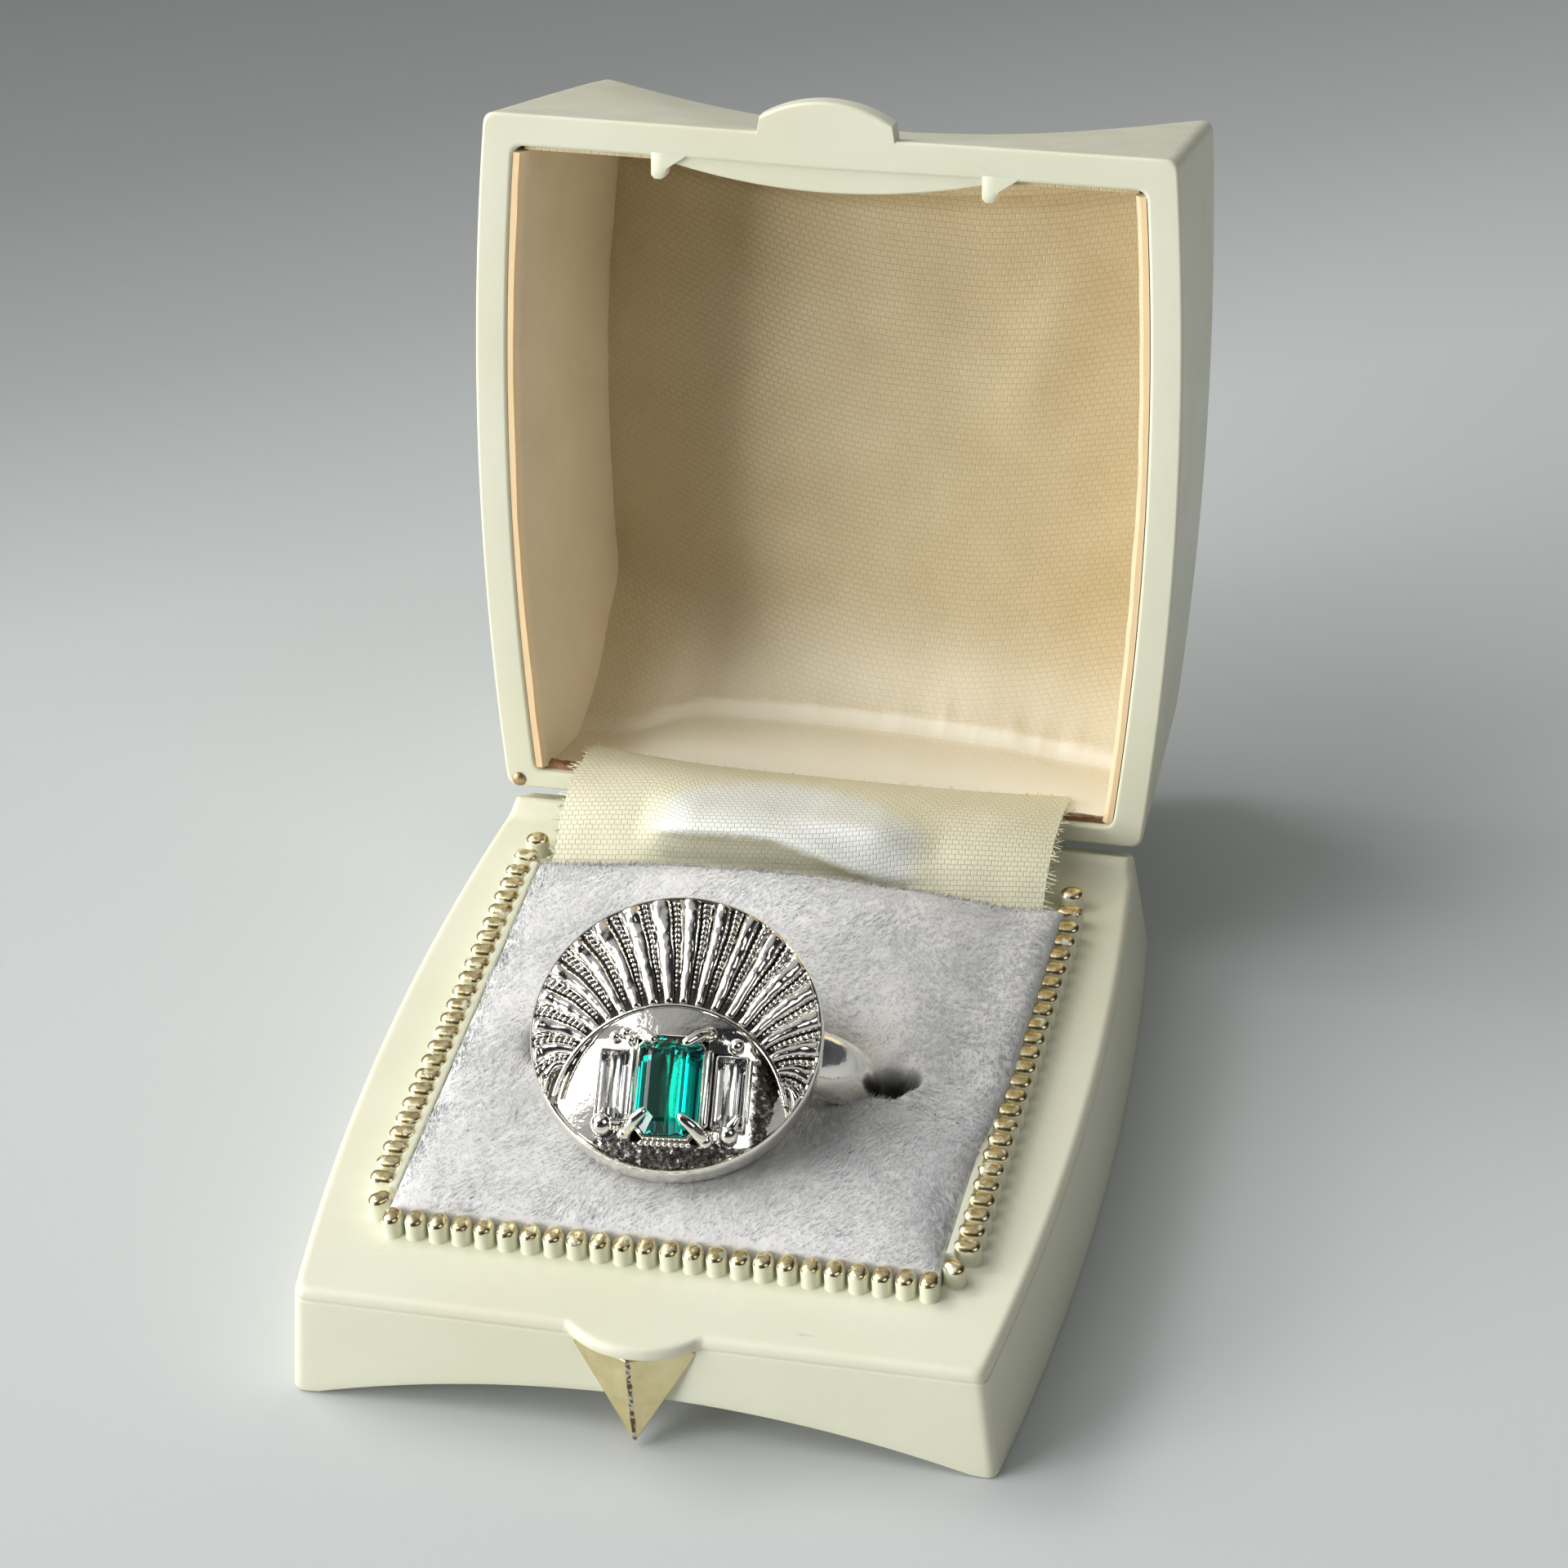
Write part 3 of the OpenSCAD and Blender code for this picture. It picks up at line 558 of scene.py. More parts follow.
def base_ring(z, inset=0.0, bulge=0.0, tongue_z=None):
    """The base's outline at height z, drawn in by inset. bulge is 1 where the tongue stands out of it."""
    def lifted(x):
        level = np.where((np.abs(x) < TONGUE_HALF) & (tongue_z is not None), tongue_z or z, z)
        return level + arch(x) * (1 - level / RIM_Z) if level.max() < RIM_Z - TONGUE_T - 0.1 else level

    def half_width(y):
        return BASE_HALF_W + BASE_LEAN * (RIM_Z - z) - np.square(y) / (2 * BASE_SIDE_R) - inset

    def front(x):
        face = FRONT_FOOT_Y + FRONT_LEAN * lifted(x) + inset
        reach = np.sqrt(np.maximum(TONGUE_R**2 - np.square(x), 0))
        return np.where(np.abs(x) < TONGUE_HALF, np.minimum(face, bulge * (TONGUE_Y - reach + inset)), face)

    plan, sides = outline(BASE_PLAN, half_width, front, straight(BASE_BACK_Y - inset), 0.7)
    back = np.where(sides < 0, z + arch(plan[:, 0]) * (1 - z / RIM_Z), z)
    return at_height(plan, np.where(sides > 0, lifted(plan[:, 0]), back))


def well_ring(grow, z):
    """The well's plain rounded outline."""
    ends = (WELL_HALF_X + grow, WELL_FRONT_Y - grow, WELL_BACK_Y + grow)
    return at_height(outline(BASE_PLAN, *map(straight, ends), 0.6)[0], z)


def build_base():
    """The moulded base: well, rim with a low ridge over the hinge, walls and the hollow under the rim."""
    rings = [well_ring(grow, z) for grow, z in
             ((0, FLOOR_T), (0, RIM_Z - 0.2), (0.06, RIM_Z - 0.06), (0.2, RIM_Z))]
    inner, outer = rings[-1], base_ring(RIM_Z, EDGE, 1)
    for t in np.linspace(0, 1, 25)[1:]:
        ring = inner + (outer - inner) * t
        ridge = RIDGE_H * bump(ring[:, 1], RIDGE_Y, RIDGE_W) * ease(23.2, 22.2, np.abs(ring[:, 0]))
        ring[:, 2] += ridge - 0.06 * ease(23.5, 23.9, ring[:, 1])
        rings.append(ring)
    drop = rings[-1][:, 2] - RIM_Z
    for a in EDGE_ARC:
        ring = base_ring(RIM_Z - EDGE * (1 - cos(a)), EDGE * (1 - sin(a)), 1)
        ring[:, 2] += drop * cos(a)
        rings.append(ring)
    under = RIM_Z - TONGUE_T
    rings += [base_ring(z, inset, bulge, under + lift) for z, inset, bulge, lift in
              ((7.5, 0, 1, 0.15), (7.38, 0.04, 1, 0.04), (7.26, 0.12, 1, 0), (7.14, 0, 0, 0))]
    rings += [base_ring(z) for z in (6.6, 6, 5, 4, 3, 2, 1, 0.3)]
    rings += [base_ring(0.09, 0.09), base_ring(0, 0.3)]
    rings += [base_ring(z, BASE_WALL) for z in (0, 2, 4.5, RIM_Z - BASE_WALL)]
    rings += [well_ring(WELL_WALL, z) for z in (RIM_Z - BASE_WALL, 3, 0)]
    even_normals(add_piece("box_base_skin", tube(rings), CREAM, "root", ["box_base"]))


def rib_body(x, y, angle, size=1.0, length=RIB_L):
    """One rib: a short bar with round ends, a domed top and a foot that spreads."""
    half_w, foot, dome_h = RIB_W * size / 2, RIM_Z - 0.08, 0.42 * size
    levels = [(foot, -0.12), (foot + 0.14, -0.03), (foot + 0.3, 0.0), (RIB_TOP - dome_h, 0.01)]
    levels += [(RIB_TOP - dome_h * (1 - sin(a)), half_w * 0.97 * (1 - cos(a)) ** 1.15)
               for a in np.radians([20, 38, 54, 68, 80, 88])]
    around = circle(24)
    ends = np.outer(np.where(around[:, 1] > 0, 1, -1), [0, length / 2 - half_w])
    rings = [at_height(max(half_w - inset, 0.03) * around + ends, z) for z, inset in levels]
    return tube(rings @ turn(z=angle).T + [x, y, 0])


def build_border():
    """The raised border: ribs with foil tops round three sides, and a plain rail inside each side row."""
    ribs = [rib_body(x, -17.75, 0) for x in np.linspace(-17.5, 17.5, 24)]
    rails = []
    foot = RIM_Z - 0.1
    profile = [(-0.3, foot), (-0.3, 9.25), (-0.22, 9.38), (0, 9.42), (0.22, 9.38), (0.3, 9.25), (0.3, foot)]
    for side in (-1, 1):
        ribs += [rib_body(side * 19.15, y, 90, length=SIDE_RIB_L) for y in np.linspace(-14.3, 17.2, 23)]
        ribs += [rib_body(side * 18.75, -16.3, side * 45),
                 rib_body(side * 19.05, 18.9, 90, length=SIDE_RIB_L), rib_body(side * 18.8, 20.8, 90, 1.1)]
        rails.append(tube([[(side * 18.25 + x, y, z) for x, z in profile]
                           for y in np.linspace(-15.2, 18.2, 20)]))
    add_piece("rib_border", joined(ribs), FOIL, "root", crease=60)
    add_piece("border_rails", joined(rails), CREAM, "root")


# Lid

def lid_half(y, h):
    return LID_HALF_W - LID_LEAN * h - np.square(np.asarray(y) - LID_BULGE_Y) / (2 * LID_SIDE_R)


def lid_front(x, h):
    plane = LID_FRONT_LEAN * h
    hollow = LID_HOLLOW_LEAN * h - np.square(x) / (2 * LID_HOLLOW_R)
    return LID_FRONT_Y + 0.5 * (plane + hollow + np.sqrt(np.square(plane - hollow) + 0.05)) - 0.1


def lid_back(h):
    return LID_BACK_Y - LID_LEAN * h


def roof(x, y):
    y = np.asarray(y) - ROOF_LOW_Y
    return ROOF_H + np.square(x) / (2 * ROOF_ACROSS_R) + np.square(y) / (2 * ROOF_ALONG_R)


def lid_ring(level, inset=0.0, detail=None):
    """The lid's outline, drawn in by inset, or by one each at the sides, front and back. level(x, y) is its
    height over the rim, and detail(x, line) may move its front line."""
    side, front_in, back_in = np.broadcast_to(inset, 3)

    def front(x):
        line = lid_front(x, level(x, LID_FRONT_Y + 3)) + front_in
        return detail(np.asarray(x, float), line) if detail else line

    plan, _ = outline(LID_PLAN, lambda y: lid_half(y, level(22.5, y)) - side, front,
                      lambda x: lid_back(level(x, LID_BACK_Y - 2)) - back_in, 0.8)
    return at_height(plan, level(*plan.T))


def on_roof(ring, share, drop=0.0):
    """A ring drawn in to a share of its size, on the roof or drop under it."""
    plan = ring[:, :2] * share
    return at_height(plan, roof(*plan.T) - drop)


def tab_line(inset):
    def moved(x, line):
        reach = TAB_TIP_Y + TAB_R - np.sqrt(np.maximum(TAB_R**2 - np.square(x), 0)) + inset
        return np.where(np.abs(x) < TAB_HALF_W, np.minimum(line, reach), line)
    return moved


def lip_line(inset):
    def moved(x, line):
        reach = LIP_Y - LIP_R + np.sqrt(LIP_R**2 - np.square(np.clip(x, -20, 20))) - inset
        return np.where(np.abs(x) < LIP_HALF_W + 0.05, np.maximum(line, reach), line)
    return moved


def flat_level(h, tab=None):
    """One height, and another on the tab if it is given."""
    def level(x, y):
        on_tab = (np.abs(x) < TAB_HALF_W) & (np.asarray(y) < 0)
        return np.where(on_tab, h if tab is None else tab, h)
    return level


def wall_level(share, low, drop):
    """A height that is a share of the way from low to the roof's edge."""
    return lambda x, y: low + share * (roof(x, y) - drop - low)


def build_lid():
    """The lid: inner skin, rim with its tab and lip, outer walls and dished roof, in one closed body."""
    inside = (LID_WALL, LID_WALL, LID_BACK_WALL)
    inner_roof = lid_ring(wall_level(1, 0, ROOF_T), inside)
    rings = [on_roof(inner_roof, share, ROOF_T) for share in (0.03, 0.35, 0.7, 0.9)] + [inner_roof]
    rings += [lid_ring(wall_level(share, LIP_T + 0.5, ROOF_T), inside) for share in (0.6, 0.25, 0)]
    rings.append(lid_ring(flat_level(LIP_T + 0.02), inside))
    rings += [lid_ring(flat_level(h), inside, lip_line(inset)) for h, inset in
              ((LIP_T, 0.1), (LIP_T - 0.08, 0.02), (LIP_STEP + 0.12, 0), (LIP_STEP + 0.03, 0.1))]
    rings.append(lid_ring(flat_level(LIP_STEP), inside))
    arc = [(RIM_EDGE * (1 - cos(a)), RIM_EDGE * (1 - sin(a))) for a in np.radians([0, 30, 60, 90])]
    rings += [lid_ring(flat_level(h), np.subtract(inside, inset)) for inset, h in arc]
    rings += [lid_ring(flat_level(h), inset, tab_line(inset)) for inset, h in arc[::-1]]
    rings += [lid_ring(flat_level(h, tab), 0, tab_line(inset)) for h, tab, inset in
              ((0.65, 1.3, 0), (0.95, 1.5, 0.05), (1.25, TAB_T, 0.18))]
    rings.append(lid_ring(flat_level(1.55, TAB_T)))
    rings += [lid_ring(wall_level(share, 1.7, EDGE)) for share in (0.03, 0.12, 0.25, 0.4, 0.55, 0.7, 0.85, 1)]
    rings += [lid_ring(wall_level(1, 0, EDGE * (1 - sin(a))), EDGE * (1 - cos(a))) for a in EDGE_ARC]
    edge = rings[-1]
    rings += [on_roof(edge, share) for share in np.append(np.linspace(0.97, 0.07, 19), 0.02)]
    even_normals(add_piece("lid_shell_skin", tube(opened(rings)), CREAM, "lid",
                           ["lid_shell"]))


def build_pegs():
    """The two catch pegs inside the lid's front rim, each a fin with a gusset on its right."""
    fin = np.array([(-0.5, -22.3), (0.5, -22.3), (2.1, -22.2), (0.65, -21.2), (0.5, -20.6), (0.2, -20.4),
                    (-0.25, -20.4), (-0.5, -20.65)])
    from_middle = fin - fin.mean(0)
    size, low, high, edge = np.abs(from_middle).max(), -0.02, 1.0, 0.16
    rings = [at_height(fin.mean(0) + from_middle * (1 - inset / size), z) for z, inset in
             ((low, edge), (low + edge * 0.3, edge * 0.3), (low + edge, 0), (high - edge, 0),
              (high - edge * 0.3, edge * 0.3), (high, edge))]
    pegs = [tube(opened(np.array(rings) + [x, 0, 0])) for x in (-11.4, 11.05)]
    add_piece("catch_pegs", joined(pegs), CREAM, "lid", crease=50)


# Soft parts

def hole_distance(x, y):
    """Distance from the mouth that the band's right end has pulled open in the pad."""
    return np.hypot((x - 11.1) * 0.8, (y + 0.8) * 1.15)


def pad_shade(x, y):
    """Masks of painted shade on the pad: first the shade painted in its two mouths beside the band, then the
    head's shadow painted on the slope behind the band, with some at the band's left mouth.
    """
    # Both masks are painted shade: the first darkens the slot's mouths, the second lays the head's shadow on
    # the slope.
    hole = np.maximum(ease(2.0, 1.4, hole_distance(x, y)), 0.7 * bump(np.hypot(x + 11.3, y + 1.2), 0, 0.9))
    painted_shadow = bump(np.hypot((x - 6.9) * 0.7, y - 2.3), 0, 2.2) + 0.5 * bump(np.hypot(x + 11.2, y + 1.2), 0, 1.8)
    return hole, np.clip(painted_shadow, 0, 1)


def pad_height(x, y):
    """The pad's skin: crowned, higher along the back, puffed up round the slot that swallows the band."""
    across, along = np.abs(x) / PAD_HALF_X, np.abs(y - PAD_Y) / (PAD_HALF_Y + 0.02)
    crown = (1 - np.clip(across, 0, 1) ** 7) ** 0.5 * (1 - np.clip(along, 0, 1) ** 14) ** 0.5
    z = 9.0 + 1.35 * crown + 0.5 * (1 - across**2) * (1 - along**2)
    z = z + (0.9 + 0.9 * bump(x, 0, 8)) * bump(y, 16.6, 3.2) * crown * ease(1.0, 0.5, across)
    off = y - (-1.35 + 0.03 * x)
    reach = ease(12.6, 11.2, np.abs(x + 0.3))
    z = z + 0.35 * bump(off, 2.6, 1.6) * reach + 0.35 * bump(off, -2.0, 1.2) * reach
    z = z - (2.6 * bump(off, 0, 0.6) + 0.6 * bump(off, 0.4, 1.9)) * reach
    z = z - 1.3 * bump(np.hypot(x - 7.5, (y - 2.0) * 0.8), 0, 3.2)
    z = z - 1.4 * bump(off, 0.2, 1.7) * ease(5.0, 8.0, x) * ease(12.8, 11.6, x)
    z = z - 3.6 * ease(1.9, 0.7, hole_distance(x, y))
    return z - 2.6 * bump(np.hypot(x + 11.2, y + 1.2), 0, 1.4)


def pad_points(x, y):
    """Points of the pad's skin. Its right and back edges swell over the border."""
    swell = ease(0.82, 1.0, x / PAD_HALF_X) * ease(-9, 2, y)
    return np.stack([x + 0.75 * swell, y, pad_height(x, y) + 0.55 * swell], -1)


def build_pad():
    u = np.sin(np.linspace(-1, 1, 221) * 1.5) / sin(1.5)
    gx, gy = np.meshgrid(PAD_HALF_X * u, PAD_Y + PAD_HALF_Y * u, indexing="ij")
    points = pad_points(gx, gy)
    flat = points * [1, 1, 0.3]
    points[..., 2] += 0.12 * cloudy(flat, 5.0, 3) + 0.04 * cloudy(flat, 1.1, 4, 20.0)
    under = points.copy()
    under[..., 2] = PAD_FOOT_Z
    masks = {name: np.tile(mask.ravel(), 2) for name, mask in zip(("hole", "painted_shadow"), pad_shade(gx, gy))}
    pad = add_piece("pad_plush", slab(points, under), PLUSH, "root", ["pad"], masks)


def build_pile():
    """Short fibres over the pad, brushed this way and that: thin closed spikes, shaded like the skin."""
    rng = np.random.default_rng(7)
    x = rng.uniform(-17.85, 17.85, FIBRES)
    y = rng.uniform(-16.8, 18.3, FIBRES)
    outside = pad_shade(x, y)[0] < 0.3
    x, y = x[outside], y[outside]
    count = len(x)
    root = pad_points(x, y) - [0, 0, 0.06]
    flat = np.column_stack([x, y, 0 * x])
    heading = 0.9 + 1.7 * cloudy(flat, 7.0, 2, 5.0) + 0.7 * cloudy(flat, 1.6, 2, 9.0)
    heading += rng.normal(0, 0.3, count)
    rise = np.clip(rng.normal(0.75, 0.2, count), 0.2, 1.4)
    length = np.clip(rng.normal(0.42, 0.08, count), 0.25, 0.65)
    along = np.column_stack([np.cos(heading) * np.cos(rise), np.sin(heading) * np.cos(rise), np.sin(rise)])
    side = np.column_stack([-np.sin(heading), np.cos(heading), 0 * x])
    over = np.cross(along, side)
    corners = [root + FIBRE_R * (cos(a) * side + sin(a) * over) for a in np.radians([90, 210, 330])]
    points = np.stack([*corners, root + along * length[:, None]], 1).reshape(-1, 3)
    faces = np.arange(count)[:, None, None] * 4 + np.array([[0, 2, 1], [0, 1, 3], [1, 2, 3], [2, 0, 3]])
    masks = {name: np.repeat(mask, 4) for name, mask in zip(("hole", "painted_shadow"), pad_shade(x, y))}
    pile = add_piece("pad_pile", (points, faces.reshape(-1, 3).tolist()), PLUSH, "root", masks=masks,
                     crease=180)
    step = 0.05
    slope_x = (pad_height(x + step, y) - pad_height(x - step, y)) / (2 * step)
    slope_y = (pad_height(x, y + step) - pad_height(x, y - step)) / (2 * step)
    normal = np.column_stack([-slope_x, -slope_y, np.ones(count)]) - 0.25 * along
    normal /= np.linalg.norm(normal, axis=1, keepdims=True)
    pile.data.normals_split_custom_set_from_vertices(np.repeat(normal, 4, axis=0).tolist())


def cloth_masks(across, along, sheets=2, **more):
    """Places on the cloth in mm for its weave, repeated for its upper and lower side."""
    masks = {"across": across, "along": along, **more}
    return {name: np.tile(np.asarray(values, float).ravel(), sheets) for name, values in masks.items()}


def run_length(points):
    """Length along each row of points, from its first one."""
    steps = np.linalg.norm(np.diff(points, axis=-2), axis=-1)
    return np.concatenate([np.zeros(steps.shape[:-1] + (1,)), np.cumsum(steps, -1)], -1)


def fold_h(x):
    """Height of the fold where the roof's satin is tucked in along the lid's back."""
    return 10.95 - 0.005 * np.square(x + 3) - 3.4 * ease(-11.5, -17.5, x)


def lining_line(x):
    """The satin at x, as points [y, h] from the lid's front rim over roof and fold to the back rim."""
    def wall(h):
        return float(lid_front(x, h)) + LID_WALL + 0.3

    def under_roof(y):
        return float(roof(x, y)) - LINING_IN

    top = under_roof(LID_FRONT_Y + 5)
    front = [(wall(h), h) for h in np.linspace(0.75, top - 2.5, 12)]
    roof_y = wall(top) + 2.5
    corner = bend(front[-1], (wall(top), top), (roof_y, top), np.linspace(0, 1, 9)[1:-1, None])
    middle = [(y, under_roof(y)) for y in np.linspace(roof_y, 12.5, 46)]
    h = float(fold_h(x))
    (_, high), fold_y = middle[-1], FOLD_Y - 0.08 * h
    fold = bend(middle[-1], (fold_y - 0.5 * (high - h), high - 0.05), (fold_y, h),
                np.linspace(0, 1, 31)[1:, None])
    tuck = [(fold_y + 0.04, h - 0.13), (fold_y + 0.12, h - 0.24)]
    back = [(22.5 - 0.08 * v, v) for v in np.linspace(h - 0.38, 0.9, BACK_ROWS)]
    return np.concatenate([front, corner, middle, fold, tuck, back])


def build_lining():
    """The satin over the lid's front, roof and back, with a puffed fold along the back."""
    shares = np.linspace(-1, 1, 141)
    line = np.array([lining_line(share * 20.5) for share in shares])
    half = lid_half(line[..., 0], line[..., 1]) - 2.8
    top = np.concatenate([(shares[:, None] * half)[..., None], line], -1)
    lumps = 0.22 * cloudy(top, 9.0, 2, 3.0)
    crease = 14.5 - 0.28 * (top[..., 1] + 14)
    lumps += 0.42 * bump(top[..., 0], crease, 2.6) * ease(8, 2, np.abs(top[..., 1] + 6))
    near_fold = bump(top[..., 2] - fold_h(top[..., 0]), 1.0, 1.3) * ease(14, 17, top[..., 1])
    lumps += 0.16 * near_fold * cloudy(top * [1, 0.2, 0.2], 1.3, 3, 11.0)
    step = np.gradient(top, axis=1)
    inward = np.stack([0 * step[..., 0], step[..., 2], -step[..., 1]], -1)
    inward /= np.linalg.norm(inward, axis=-1, keepdims=True)
    top += inward * lumps[..., None] * ease(0, 6, run_length(top))[..., None]
    length = run_length(top)
    fold_at = length[:, -BACK_ROWS - 3][:, None]
    # Painted highlight: the satin is painted lighter in a band along the fold where it catches the light,
    # over the back sheet that faces up and up the roof towards the fold, and less on the shaded left.
    band = ease(fold_at - 1.9, fold_at - 0.9, length) * (0.95 - 0.3 * ease(fold_at, fold_at + 0.3, length))
    painted_sheen = band + 0.35 * ease(fold_at + 1, fold_at + 7, length)
    painted_sheen = np.maximum(painted_sheen, 0.45 * ease(fold_at - 11, fold_at - 2, length))
    painted_sheen *= 1 - 0.7 * ease(-13, -17, top[..., 0])
    lining = add_piece("lining_satin", slab(opened(top), opened(top - 0.3 * inward)), LINING, "lid",
                       ["lid_lining"], cloth_masks(top[..., 0], length, edge=painted_sheen), 60)


def build_panels():
    """The satin side panels of the lid, with the peach edge of their card at the rim."""
    shares = np.concatenate([[0, 0.004, 0.02, 0.05], np.linspace(0.1, 1, 30)])[:, None]
    for side, node in ((-1, "lining_panel_left"), (1, "lining_panel_right")):
        y = -21.5 + np.linspace(0, 1, 90)[None, :] * (22.6 + 21.5)
        h = 0.15 + shares * (roof(21.0, y) - 1.9 - 0.15)
        y = np.clip(y, lid_front(20.0, h) + 2.3, lid_back(h) - 1.4)
        bow = 0.35 * np.sin(pi * np.clip((h - 1) / 14, 0, 1)) * (side < 0)
        grid = np.stack([side * (lid_half(y, h) - 2.95 - bow), y, h], -1)
        grid[..., 0] += 0.1 * cloudy(grid, 6.0, 2) + side * 0.3 * ease(0.55, 0.15, h)
        under = np.stack([side * (lid_half(y, h) - 2.25), y, h], -1)
        panel = add_piece(node + "_satin", slab(opened(grid), opened(under)), PANEL, "lid", [node],
                          cloth_masks(y, h, edge=1 - ease(0.25, 0.6, h)), 60)


def flap_surface():
    """The flap as a grid of points: from behind the pad it dips, humps over the hinge and ends in the lid.
    The other results are its x, and masks of its painted sheen, a pale patch on the hump, and of the painted
    shade under that."""
    tt, vv = np.meshgrid(np.linspace(0, 1, 70), np.linspace(-1, 1, 121))
    x = FLAP_HALF_W * vv + 0.25 * np.sin(5 * vv)
    top_h = 1.4 + np.where(vv < 0, 2.0, 0.9) * np.abs(vv) ** 3
    start, lean = (np.stack([y + 0 * x, z + 0 * x], -1) for y, z in ((18.55, 9.15), (20.0, 9.6)))
    hump = np.stack([22.0 + 0 * x, 13.3 + 1.6 * (1 - vv**2)], -1)
    end = opened(np.stack([x, 21.75 + 0 * x, top_h], -1))[..., 1:]
    s = tt[..., None]
    line = (1 - s) ** 3 * start + 3 * s * (1 - s) ** 2 * lean + 3 * s**2 * (1 - s) * hump + s**3 * end
    points = np.concatenate([x[..., None], line], -1)
    off_middle = np.abs(vv + 0.06)
    middle = ease(0.62, 0.34, off_middle)
    low = 0.40 - 0.2 * ease(-0.15, 0.4, vv)
    lumps = 0.12 * cloudy(points, 5.0, 2, 2.0) + 1.35 * middle * bump(tt, 0.5, 0.17)
    lumps -= 0.5 * middle * bump(tt, 0.2, 0.08)
    lumps *= np.sin(pi * tt) ** 0.5
    points += lumps[..., None] * [0, -0.6, 0.8]
    points += (middle * bump(tt, low + 0.05, 0.07))[..., None] * [0, -0.75, 0.2]
    edge = tt + 0.035 * cloudy(points, 0.9, 3, 8.0)
    # Painted sheen: a pale patch on the hump where the satin catches the light, and painted shade in a darker
    # strip under it, where the hump overhangs.
    wide = ease(0.60, 0.44, off_middle + 0.06 * cloudy(points, 1.5, 2, 3.0))
    top = 0.84 - 0.9 * np.square(vv + 0.1)
    painted_sheen = 0.8 * wide * ease(low - 0.02, low + 0.03, edge) * ease(top + 0.08, top - 0.06, edge)
    return points, x, painted_sheen, 0.6 * wide * ease(low + 0.02, low - 0.03, edge)


def build_flap():
    """The satin flap over the hinge, and the threads that fray from its cut sides."""
    top, x, painted_sheen, soil = flap_surface()
    length = run_length(top)
    flap = add_piece("hinge_flap", slab(top, top + [0, 0.2, -0.22]), FLAP, None,
                     ["hinge_ribbon"], cloth_masks(x, length, edge=painted_sheen, soil=soil), 60)
    rng = np.random.default_rng(11)
    threads = []
    for row, side in ((0, -1), (-1, 1)):
        for i in rng.integers(2, 68, 46):
            base = top[row, i] - [side * 0.1, 0, 0.08]
            out = np.array([side * rng.uniform(0.25, 0.85), rng.normal(0, 0.3), rng.normal(0.02, 0.15)])
            threads.append(round_bar(base, base + out, 0.045, 0.03, 5))
    for i in rng.integers(1, 119, 60):
        base = top[i, -1] - [0, 0.1, 0.06]
        out = np.array([rng.normal(0, 0.15), rng.uniform(0.1, 0.35), rng.normal(0.08, 0.08)])
        threads.append(round_bar(base, base + out, 0.04, 0.03, 5))
    fray = joined(threads)
    fringe = add_piece("flap_threads", fray, FLAP, None, (), cloth_masks(*fray[0].T[:2], 1), 60)
    for piece in (flap, fringe):
        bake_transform(piece)


def build_lid_marks():
    """Dark brown sheets of painted shade in the pockets under the lining's lower corners, and the end of a
    brass pin in the lid's rim.
    """
    lumps = []
    # Painted shade: dark brown sheets stand in for the shadow in the pockets between the lining's lower
    # corners and the rim.
    for x0, x1, h0, h1 in ((17.2, 21.4, 0.55, 1.75), (-21.3, -18.0, 0.6, 1.5)):
        u, v = np.meshgrid(np.linspace(0, 1, 28), np.linspace(0, 1, 14), indexing="ij")
        grid = np.stack([x0 + (x1 - x0) * u, 22.45 + 0 * u, h0 + (h1 - h0) * v], -1)
        grid[..., 1] += 0.16 * cloudy(grid, 0.9, 3) - 0.1 * np.sin(pi * u) * np.sin(pi * v)
        lumps.append(slab(opened(grid), opened(grid + [0, 0.35, 0])))
    add_piece("pocket_shade_sheets", joined(lumps), POCKET_SHADE, "lid", crease=70)
    points, faces = ball((-21.64, 23.55, 0.02), 0.52, 0.35, 20)
    add_piece("pin_end", (opened(points), faces), PIN, "lid")


# Ring

def dome(d):
    """Height of the face at a distance from its middle."""
    return np.sqrt(DOME_R**2 - np.square(np.minimum(d, FACE_R))) - DOME_R + DOME_H


def band_body():
    """The band: flat inside with eased edges, round outside, wide at the shoulders and narrow at the foot."""
    u = np.linspace(-1, 1, 17)
    rings = []
    for phi in np.linspace(0, 2 * pi, 160, endpoint=False):
        outer = BAND_RISE * cos(phi) + sqrt(BAND_OUTER_R**2 - (BAND_RISE * sin(phi)) ** 2)
        half = 1.9 + 0.4 * cos(phi)
        crown = outer - BAND_CROWN_R + np.sqrt(BAND_CROWN_R**2 - np.square(u * half * 0.97))
        profile = list(zip(half * u, np.maximum(crown, FINGER_R + 0.25)))
        profile += [(half - 0.02, FINGER_R + 0.1), (half - 0.2, FINGER_R), (0, FINGER_R),
                    (0.2 - half, FINGER_R), (0.02 - half, FINGER_R + 0.1)]
        rings.append([(r * sin(phi), a, min(r * cos(phi), BAND_TOP)) for a, r in profile])
    return hoop(on_band(rings))


def head_body():
    """The deep rim of the head and its closed back. The face stands on its low inner floor."""
    profile = [(0.3, -2.6), (6.0, -2.6), (8.5, -2.6), (8.85, -2.57), (9.12, -2.42), (9.28, -2.15),
               (9.36, -1.7), (9.4, -1.1), (9.4, -0.6), (9.37, -0.25), (9.3, 0.02), (9.2, 0.1), (9.08, 0.02),
               (9.02, -0.7), (7.0, -0.75), (3.0, -0.75), (0.3, -0.75)]
    return tube(on_head([at_height(r * circle(192), z) for r, z in profile]))


